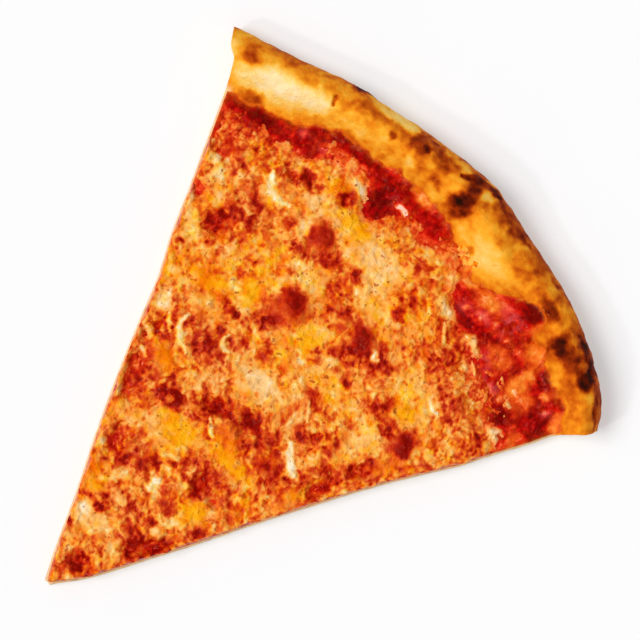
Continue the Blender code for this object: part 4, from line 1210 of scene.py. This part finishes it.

# %% [markdown]
# The tone is painted from the broad marks to the fine ones. Before the palest are laid on, the curds
# give the melt its grain: each lump has a tone of its own, and the seams between lumps and the
# hollows of the streaks are painted darker, as the shade that gathers in them. Small bubbles that
# burst leave pits with a darker floor, and the cut faces are darker towards the sauce. Along the top
# edge at each cut the cheese is painted darker as well, as the shade in the groove over the dough.

# %% The cheese's tone
tone = painted(0.52 + 0.05 * clouds(x, y, 8.0, 72), wx, wy, BROAD_TONES, 1.2)
tone = tone + 0.7 * (painted(tone, wx, wy, POOLS, 1.2) - tone)
tone = stroked(painted(tone, wx, wy, BROWN_SPOTS, 1.3), x, y, SCORCH_AND_SHADE_ARCS)
grainy = (0.25 + 0.75 * smooth((tone - 0.34) / 0.22)) * (1 - 0.75 * domes) * (1 - 0.8 * calm)
tone = tone - 0.035 + 0.11 * clouds(x, y, 4.4, 73)
# Painted shade: the seams between lumps and the hollows of the streaks are made darker, as shade gathers
# there.
tone = tone + grainy * (0.21 * number + 0.20 * (0.72 - lump) + 0.25 * streaks)
# The palest spots go on here: set milk fat, and painted highlights.
tone = painted(tone, *ragged(x, y, 1.1, 2.4, 79), PALE_SPOTS_AND_HIGHLIGHTS, 1.4)
tone = stroked(tone, *ragged(x, y, 0.3, 2.0, 70), PALE_STROKES)
pale = 1 - smooth((tone - 0.10) / 0.20)
burst = pits(*ragged(x, y, 0.4, 1.6, 76), 3.0, 74) * smooth(0.5 + 1.4 * clouds(x, y, 9.0, 78))
burst = burst * (1 - calm) * (1 - domes)
tone = tone + 0.30 * burst
cut_tone = 0.42 + 0.46 * skin.depth + 0.22 * clouds(skin.radius, 4.0 * skin.depth + 9.0, 2.4, 86)
cut_face = abs(skin.side) * smooth(4.0 * skin.depth)
tone = tone + 0.8 * cut_face * (cut_tone - tone)
# Painted shade: the top of the cheese is darker along each cut, as in the groove over the dough.
tone = tone + 0.14 * np.exp(-to_cut(skin) / 0.5) * (1 - skin.depth)
butter = painted(0.46 + 0.25 * clouds(x, y, 7.0, 66), wx, wy, BUTTER_MARKS, 1.4)
butter = butter + 0.25 * calm + 0.34 * hills(x, y, 2.8, 67)
print("tone from", tone.min().round(2), "to", tone.max().round(2))

# %% [markdown]
# The heights are the cover over the ground, less the pits and a small drop at the cuts. Where the
# cover is less than nothing the skin dips below the sauce and is hidden, and it is drawn in further
# there, so that no hidden skin shows at a cut.

# %% The cheese's heights and mesh
PIT_DEPTH = 0.32
EDGE_DROP = 0.6
DEEPEST = -0.6
UNDER_CHEESE = 0.5


def ground(radius, angle, x, y):
    """The height that the cheese lies on: the sauce where there is any, and the dough elsewhere."""
    return dough_top(radius, angle, x, y) + np.maximum(sauce_over_dough(radius, angle, x, y), 0)


edge_drop = EDGE_DROP * np.exp(-to_cut(skin) / 0.7)
lift = np.maximum(cover - PIT_DEPTH * burst - edge_drop, DEEPEST)
hidden = smooth(-lift / 0.4)
top_amount = 1.15 + 0.5 * hills(skin.radius, skin.angle, 4.0, 75) + hidden
x, y = drawn_in(skin, top_amount, 0.8 + hidden)
lies_on = ground(skin.radius, skin.angle, skin.x, skin.y)
sauce_under = sauce_over_dough(skin.radius, skin.angle, skin.x, skin.y)
z = lies_on + lift * (1 - skin.depth) + (np.minimum(lift, 0) - UNDER_CHEESE) * skin.depth
cheese_values = {
    "tone": tone,
    "thin": (1 - smooth((cover - 0.1) / 0.9)) * smooth(sauce_under / 0.7),
    "butter": butter,
    "foamy": (1 - 0.8 * calm) * (1 - 0.8 * domes) * (0.5 + 0.5 * grainy) * (1 - 0.6 * pale),
    "specks": smooth(2.8 - 3.4 * tone) * smooth(0.7 + 1.3 * clouds(x, y, 8.0, 78)),
    "dusted": smooth(1 - 1.6 * calm) * (1 - domes) * (1 - pale) * (1 - skin.depth),
    "wet": np.clip(wet, 0, 1),
    "rough": (1 - 0.85 * calm) * (1 - 0.6 * domes) * (1 - skin.depth),
}
cheese = mesh_piece("browned_cheese", skin, x, y, z, **cheese_values)

# %% [markdown]
# ## Finishes
# Each layer's finish reads the value stored at its points and turns it into colour with a ramp
# whose stops are colours one would mix as paints. Noise finer than the mesh is added to the value
# before the ramp, so the mottling stays in keeping with the colour that it lies in. The crust's ramp
# runs from flour through gold and brown to char. Baked dough is dry, so it has hardly any shine.

# %% The crust's finish
finish = Finish("oven_baked_crust")
bake = finish.stored("bake") + finish.uneven(3.0, 0.28, 4.0) + finish.uneven(0.9, 0.10)
baked = finish.ramp(bake, (
    (0.00, tint(254, 230, 180)), (0.18, tint(253, 206, 108)), (0.34, tint(250, 174, 46)),
    (0.48, tint(236, 138, 24)), (0.60, tint(206, 96, 14)), (0.73, tint(160, 54, 8)),
    (0.86, tint(102, 24, 6)), (1.00, tint(38, 14, 8)),
))
# The crumb is painted darker in its holes, as the shade inside the pores.
crumb = finish.ramp(finish.noise(1.6, 4.0) - finish.stored("hole") * 0.35, (
    (0.0, tint(206, 144, 82)), (0.45, tint(248, 212, 152)), (0.8, tint(255, 236, 200)),
))
spots = finish.between(finish.noise(7.0, 3.0), 0.52, 0.68)
under = finish.mix(tint(222, 168, 96), tint(150, 84, 34), spots)
flour = finish.between(finish.noise(3.0, 5.0), 0.50, 0.62)
under = finish.mix(under, tint(244, 226, 190), flour * 0.6)
baked = finish.mix(baked, tint(226, 84, 16), finish.stored("stain") * 0.6)
colour = finish.mix(baked, crumb, finish.stored("crumb"))
colour = finish.mix(colour, under, finish.stored("underside"))
baked_dough = finish.done(
    finish.noise(0.45, 3.0) + finish.noise(1.6, 2.0) * 1.5,
    0.25,
    Base_Color=colour,
    Roughness=0.62 + finish.uneven(4.0, 0.3),
    Specular_IOR_Level=0.04,
    Specular_Tint=tint(255, 190, 120),
    **TRANSLUCENT,
)

# %% [markdown]
# Cooked sauce is wet and smooth. It has two ramps, a red one and an orange one for sauce that oil
# and cheese have run into, mixed by `amber`. A pink sheen of caught light is painted over it by
# `sheen`, and an orange edge by `film`. Its shine is tinted warm, since it comes through a film of
# red oil.

# %% The sauce's finish
finish = Finish("cooked_tomato")
shade = finish.stored("dark") + finish.uneven(1.8, 0.50, 3.0) + finish.uneven(0.6, 0.15)
shade = shade - finish.veins(5.0, 0.05, 3.0) * 0.10
red = finish.ramp(shade, (
    (0.00, tint(255, 200, 180)), (0.12, tint(253, 142, 98)), (0.28, tint(238, 70, 26)),
    (0.50, tint(208, 18, 4)), (0.74, tint(160, 0, 0)), (1.00, tint(104, 0, 0)),
))
orange = finish.ramp(shade, (
    (0.00, tint(253, 190, 110)), (0.30, tint(246, 136, 40)),
    (0.55, tint(236, 96, 18)), (0.85, tint(196, 40, 4)),
))
red = finish.mix(red, orange, finish.stored("amber"))
edge = finish.ramp(finish.noise(1.6, 3.0), ((0.35, tint(206, 60, 10)), (0.65, tint(240, 130, 34))))
red = finish.mix(red, edge, finish.stored("film") * 0.8)
# A painted pink sheen: light caught on the wet skin, mixed into the colour where the marks say.
painted_sheen_share = finish.between(finish.noise(2.4, 3.0), 0.40, 0.62) * finish.stored("sheen")
red = finish.mix(red, tint(226, 84, 84), painted_sheen_share * 0.7)
tomato = finish.done(
    finish.noise(0.8, 3.0),
    0.35,
    Base_Color=red,
    Roughness=0.12 + finish.noise(2.5, 2.0) * 0.16,
    Specular_IOR_Level=0.4,
    Specular_Tint=tint(255, 215, 200),
    **TRANSLUCENT,
)

# %% [markdown]
# Melted cheese has two families of colour, creamy where the milk fat shows and golden where oil has
# gathered, mixed by `butter`. Where the cheese is thin the sauce's red comes through. A few brown
# specks of herb are too small to be shapes. Pools are smoother than the foamy cheese between them.

# %% The cheese's finish
finish = Finish("oven_browned_cheese")
mottling = finish.uneven(2.2, 0.55, 3.0) + finish.uneven(0.8, 0.08)
lines = finish.veins(5.5, 0.07, 1.0) * 0.10 - finish.veins(6.0, 0.06, 2.0) * 0.15
tone = finish.stored("tone") + (mottling + lines) * finish.stored("foamy")
creamy = finish.ramp(tone, (
    (0.00, tint(255, 244, 226)), (0.08, tint(254, 226, 184)), (0.18, tint(252, 203, 136)),
    (0.28, tint(251, 186, 108)), (0.38, tint(248, 167, 82)), (0.48, tint(242, 142, 58)),
    (0.58, tint(230, 110, 38)), (0.68, tint(214, 76, 24)), (0.78, tint(196, 46, 12)),
    (0.88, tint(172, 22, 5)), (1.00, tint(138, 8, 2)),
))
golden = finish.ramp(tone, (
    (0.00, tint(255, 236, 164)), (0.08, tint(255, 216, 104)), (0.18, tint(255, 193, 50)),
    (0.28, tint(255, 175, 18)), (0.38, tint(253, 157, 2)), (0.48, tint(248, 133, 0)),
    (0.58, tint(237, 104, 0)), (0.68, tint(224, 74, 0)), (0.78, tint(206, 46, 0)),
    (0.88, tint(180, 20, 0)), (1.00, tint(144, 4, 0)),
))
butter = finish.stored("butter") + finish.uneven(2.0, 2.2, 3.0)
melted = finish.mix(creamy, golden, finish.math("ADD", butter, 0.0, clamp=True))
film = finish.ramp(tone, (
    (0.15, tint(246, 150, 84)), (0.40, tint(240, 96, 34)), (0.60, tint(218, 44, 10)),
    (0.78, tint(190, 14, 2)), (1.00, tint(142, 2, 0)),
))
colour = finish.mix(melted, film, finish.stored("thin") * 0.85)
specks = finish.between(finish.noise(1.8, 1.0), 0.63, 0.72) * finish.stored("specks")
colour = finish.mix(colour, tint(176, 62, 2), specks * 0.75)
shine = finish.stored("wet")
cheese_finish = finish.done(
    finish.noise(0.6, 2.0) * 0.6 + finish.noise(1.5, 2.0),
    0.5,
    Base_Color=colour,
    Roughness=0.24 - shine * 0.10 + finish.uneven(1.8, 0.16),
    Specular_IOR_Level=0.4,
    Specular_Tint=tint(255, 230, 190),
    **TRANSLUCENT,
)

# %% [markdown]
# ## Dressing the layers
# Now each layer gets its fine relief and its finish and rides on the slice's one body, and the
# plain solid that it was built over is hidden.

# %% Relief, finish and place of each layer
LAYERS = (
    (crust, "crust", "baked_dough", baked_dough, 1.3, 0.5, 3.0),
    (sauce, "tomato_sauce", "tomato_sauce", tomato, 1.1, 0.7, 5.0),
    (cheese, "melted_cheese", "melted_cheese", cheese_finish, 1.0, 0.6, 9.0),
)
for piece, solid, slot, material, size, height, seed in LAYERS:
    sizes = {"grain_size": size * MM, "grain_height": height * MM, "seed": seed}
    grown(piece, RELIEF, RELIEF_INPUTS, finish=material, **sizes)
    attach(piece, "root")
    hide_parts(solid)
    print(piece.name, "spans", [round(side * 1000, 1) for side in piece.dimensions], "mm")

# %% [markdown]
# ## Dried herb
# A pinch of dried oregano goes on before baking and ends as small brown flecks, half sunk in the
# cheese. Flat crumbs turned at random are a job for Geometry Nodes. They are scattered over the top
# of the cheese alone, by its `dusted` value, and left out where a pool of oil has floated them off.

# %% Scattered flecks
HERBS = bpy.data.node_groups.new("scattered_flecks", "GeometryNodeTree")
HERB_INPUTS = inputs_of(
    HERBS,
    geometry="NodeSocketGeometry",
    flecks_per_area="NodeSocketFloat",
    fleck_size="NodeSocketFloat",
    seed="NodeSocketInt",
    finish="NodeSocketMaterial",
)
n = Nodes(HERBS)
given = n.add("NodeGroupInput")
open_top = n.add("GeometryNodeInputNamedAttribute", {"data_type": "FLOAT"}, {"Name": "dusted"})
points = n.add(
    "GeometryNodeDistributePointsOnFaces",
    {"distribute_method": "RANDOM"},
    {"Mesh": given, "Density": open_top * given.other("Flecks per area"), "Seed": given.other("Seed")},
)
crumb = n.add("GeometryNodeMeshIcoSphere", None, {"Radius": 0.5, "Subdivisions": 1})
flat = n.add("GeometryNodeTransform", None, {"Geometry": crumb, "Scale": (1.0, 0.6, 0.22)})
size_range = {"data_type": "FLOAT"}
share = n.add("FunctionNodeRandomValue", size_range, {2: 0.45, 3: 1.0, "Seed": given.other("Seed")}, 1)
spin = n.add("FunctionNodeRandomValue", size_range, {2: 0.0, 3: 6.28, "Seed": 4}, 1)
tilt = n.add("FunctionNodeRandomValue", size_range, {2: -0.5, 3: 0.5, "Seed": 5}, 1)
turns = n.add("ShaderNodeCombineXYZ", None, {"X": tilt, "Y": tilt, "Z": spin})
placed = n.add(
    "GeometryNodeInstanceOnPoints",
    None,
    {"Points": points, "Instance": flat, "Rotation": turns, "Scale": share * given.other("Fleck size")},
)
real = n.add("GeometryNodeRealizeInstances", None, {"Geometry": placed})
dressed = n.add("GeometryNodeSetMaterial", None, {"Geometry": real, "Material": given.other("Finish")})
n.add("NodeGroupOutput", None, {"Geometry": dressed})

print("herb tree:", len(HERBS.nodes), "nodes, inputs", list(HERB_INPUTS))

# %% [markdown]
# The flecks are a piece of their own. It starts as a copy of the cheese, which the tree takes as the
# ground to scatter on and then leaves out, so only the flecks remain.

# %% The flecks on the cheese
finish = Finish("dried_oregano")
leaf = finish.mix(tint(196, 104, 14), tint(158, 74, 8), finish.between(finish.noise(6.0), 0.4, 0.6))
dull = finish.noise(1.0) * 0.1 + 0.8
dried = finish.done(finish.noise(1.0), 0.02, Base_Color=leaf, Roughness=dull, Specular_IOR_Level=0.0)
flecks = bpy.data.objects.new("oregano_flecks", cheese.data.copy())
bpy.context.scene.collection.objects.link(flecks)
FLECK_DENSITY = 8000.0
grown(flecks, HERBS, HERB_INPUTS, flecks_per_area=FLECK_DENSITY, fleck_size=1.0 * MM, seed=3, finish=dried)
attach(flecks, "root")
print("flecks:", len(flecks.data.polygons) // 20)

# %% [markdown]
# ## The setting
# The slice lies on a plain pale floor. A white surround gives even light, and one broad, soft light
# from the left rounds off the rim and leaves a faint shadow on the right. The floor glows a little,
# which keeps it white and the shadow faint. A second, small light from the lower left is the one
# that oil and wet sauce mirror as tiny glints.

# %% Floor and surround
bpy.ops.mesh.primitive_plane_add(size=6.0, location=(0.0, 0.0, -0.0002))
floor = bpy.context.object
floor.name = "floor"
finish = Finish("pale_floor")
paper = finish.mix(tint(209, 209, 210), tint(207, 207, 208), finish.noise(30.0))
WHITE = (1.0, 1.0, 1.0, 1.0)
GLOW = 0.30
pale_floor = finish.done(
    finish.noise(2.0),
    0.0,
    Base_Color=paper,
    Emission_Color=WHITE,
    Emission_Strength=GLOW,
    Roughness=0.9,
)
floor.data.materials.append(pale_floor)
floor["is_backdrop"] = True

world = bpy.data.worlds.new("studio")
bpy.context.scene.world = world
world.use_nodes = True
n = Nodes(world.node_tree)
surround = n.add("ShaderNodeBackground", None, {"Color": WHITE, "Strength": 0.52})
n.add("ShaderNodeOutputWorld", None, {"Surface": surround})
world.cycles_visibility.glossy = False

# %% [markdown]
# The slice lies aslant in the view, because the camera is turned. The lights keep to the view's own
# directions: each is placed by how far it stands to the right, towards the top and up.

# %% Lights
VIEW_TURN = math.radians(46.8)
LIGHT_HEIGHT = math.radians(57.0)
LIGHT_TURN = math.radians(7.0)
to_right = Vector((math.cos(VIEW_TURN), math.sin(VIEW_TURN), 0.0))
to_top = Vector((-math.sin(VIEW_TURN), math.cos(VIEW_TURN), 0.0))
across = to_top * math.sin(LIGHT_TURN) - to_right * math.cos(LIGHT_TURN)
key_from = across * math.cos(LIGHT_HEIGHT) + Vector((0.0, 0.0, math.sin(LIGHT_HEIGHT)))
spark_from = -to_right * 0.67 - to_top * 0.31 + Vector((0.0, 0.0, 0.67))


def sunlight(name, comes_from, strength, width):
    """A light from far away whose disc is this many degrees wide."""
    light = bpy.data.lights.new(name, "SUN")
    light.energy = strength
    light.angle = math.radians(width)
    lamp = bpy.data.objects.new(name, light)
    lamp.rotation_euler = comes_from.to_track_quat("Z", "Y").to_euler()
    bpy.context.scene.collection.objects.link(lamp)
    return lamp


key = sunlight("key", key_from, 1.75, 28.0)
key.visible_glossy = False
sunlight("spark", spark_from, 0.50, 6.0)
print("the key light stands", round(math.degrees(LIGHT_HEIGHT)), "degrees high")

# %% [markdown]
# The camera looks straight down from about 0.8 m with a long lens, so that the tall rim hardly
# leans outwards in the view.

# %% The camera
LENS = 150.0
SENSOR = 36.0
VIEW_WIDTH = 188.2
VIEW_CENTRE = (0.3, 23.6)
TOP_LEVEL = 5.0
camera_data = bpy.data.cameras.new("camera")
camera_data.lens = LENS
camera_data.sensor_width = SENSOR
camera = bpy.data.objects.new("camera", camera_data)
distance = VIEW_WIDTH * LENS / SENSOR + TOP_LEVEL
camera.location = (VIEW_CENTRE[0] * MM, VIEW_CENTRE[1] * MM, distance * MM)
camera.rotation_euler = (0.0, 0.0, VIEW_TURN)
bpy.context.scene.collection.objects.link(camera)
bpy.context.scene.camera = camera
bpy.context.scene.view_settings.view_transform = "Standard"
print("camera is", round(distance), "mm above the slice's base")

# %% [markdown]
# ## Sizes
# The fine slice has to fill the same box as its solids, so both boxes are printed.

# %% The two boxes
boxes = {"cad": [list(corner) for corner in CAD_BOX], "visual": [list(corner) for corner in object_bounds()]}
for name, (low, high) in boxes.items():
    print(name, "box, mm:", [round((b - a) * 1000, 1) for a, b in zip(low, high)])
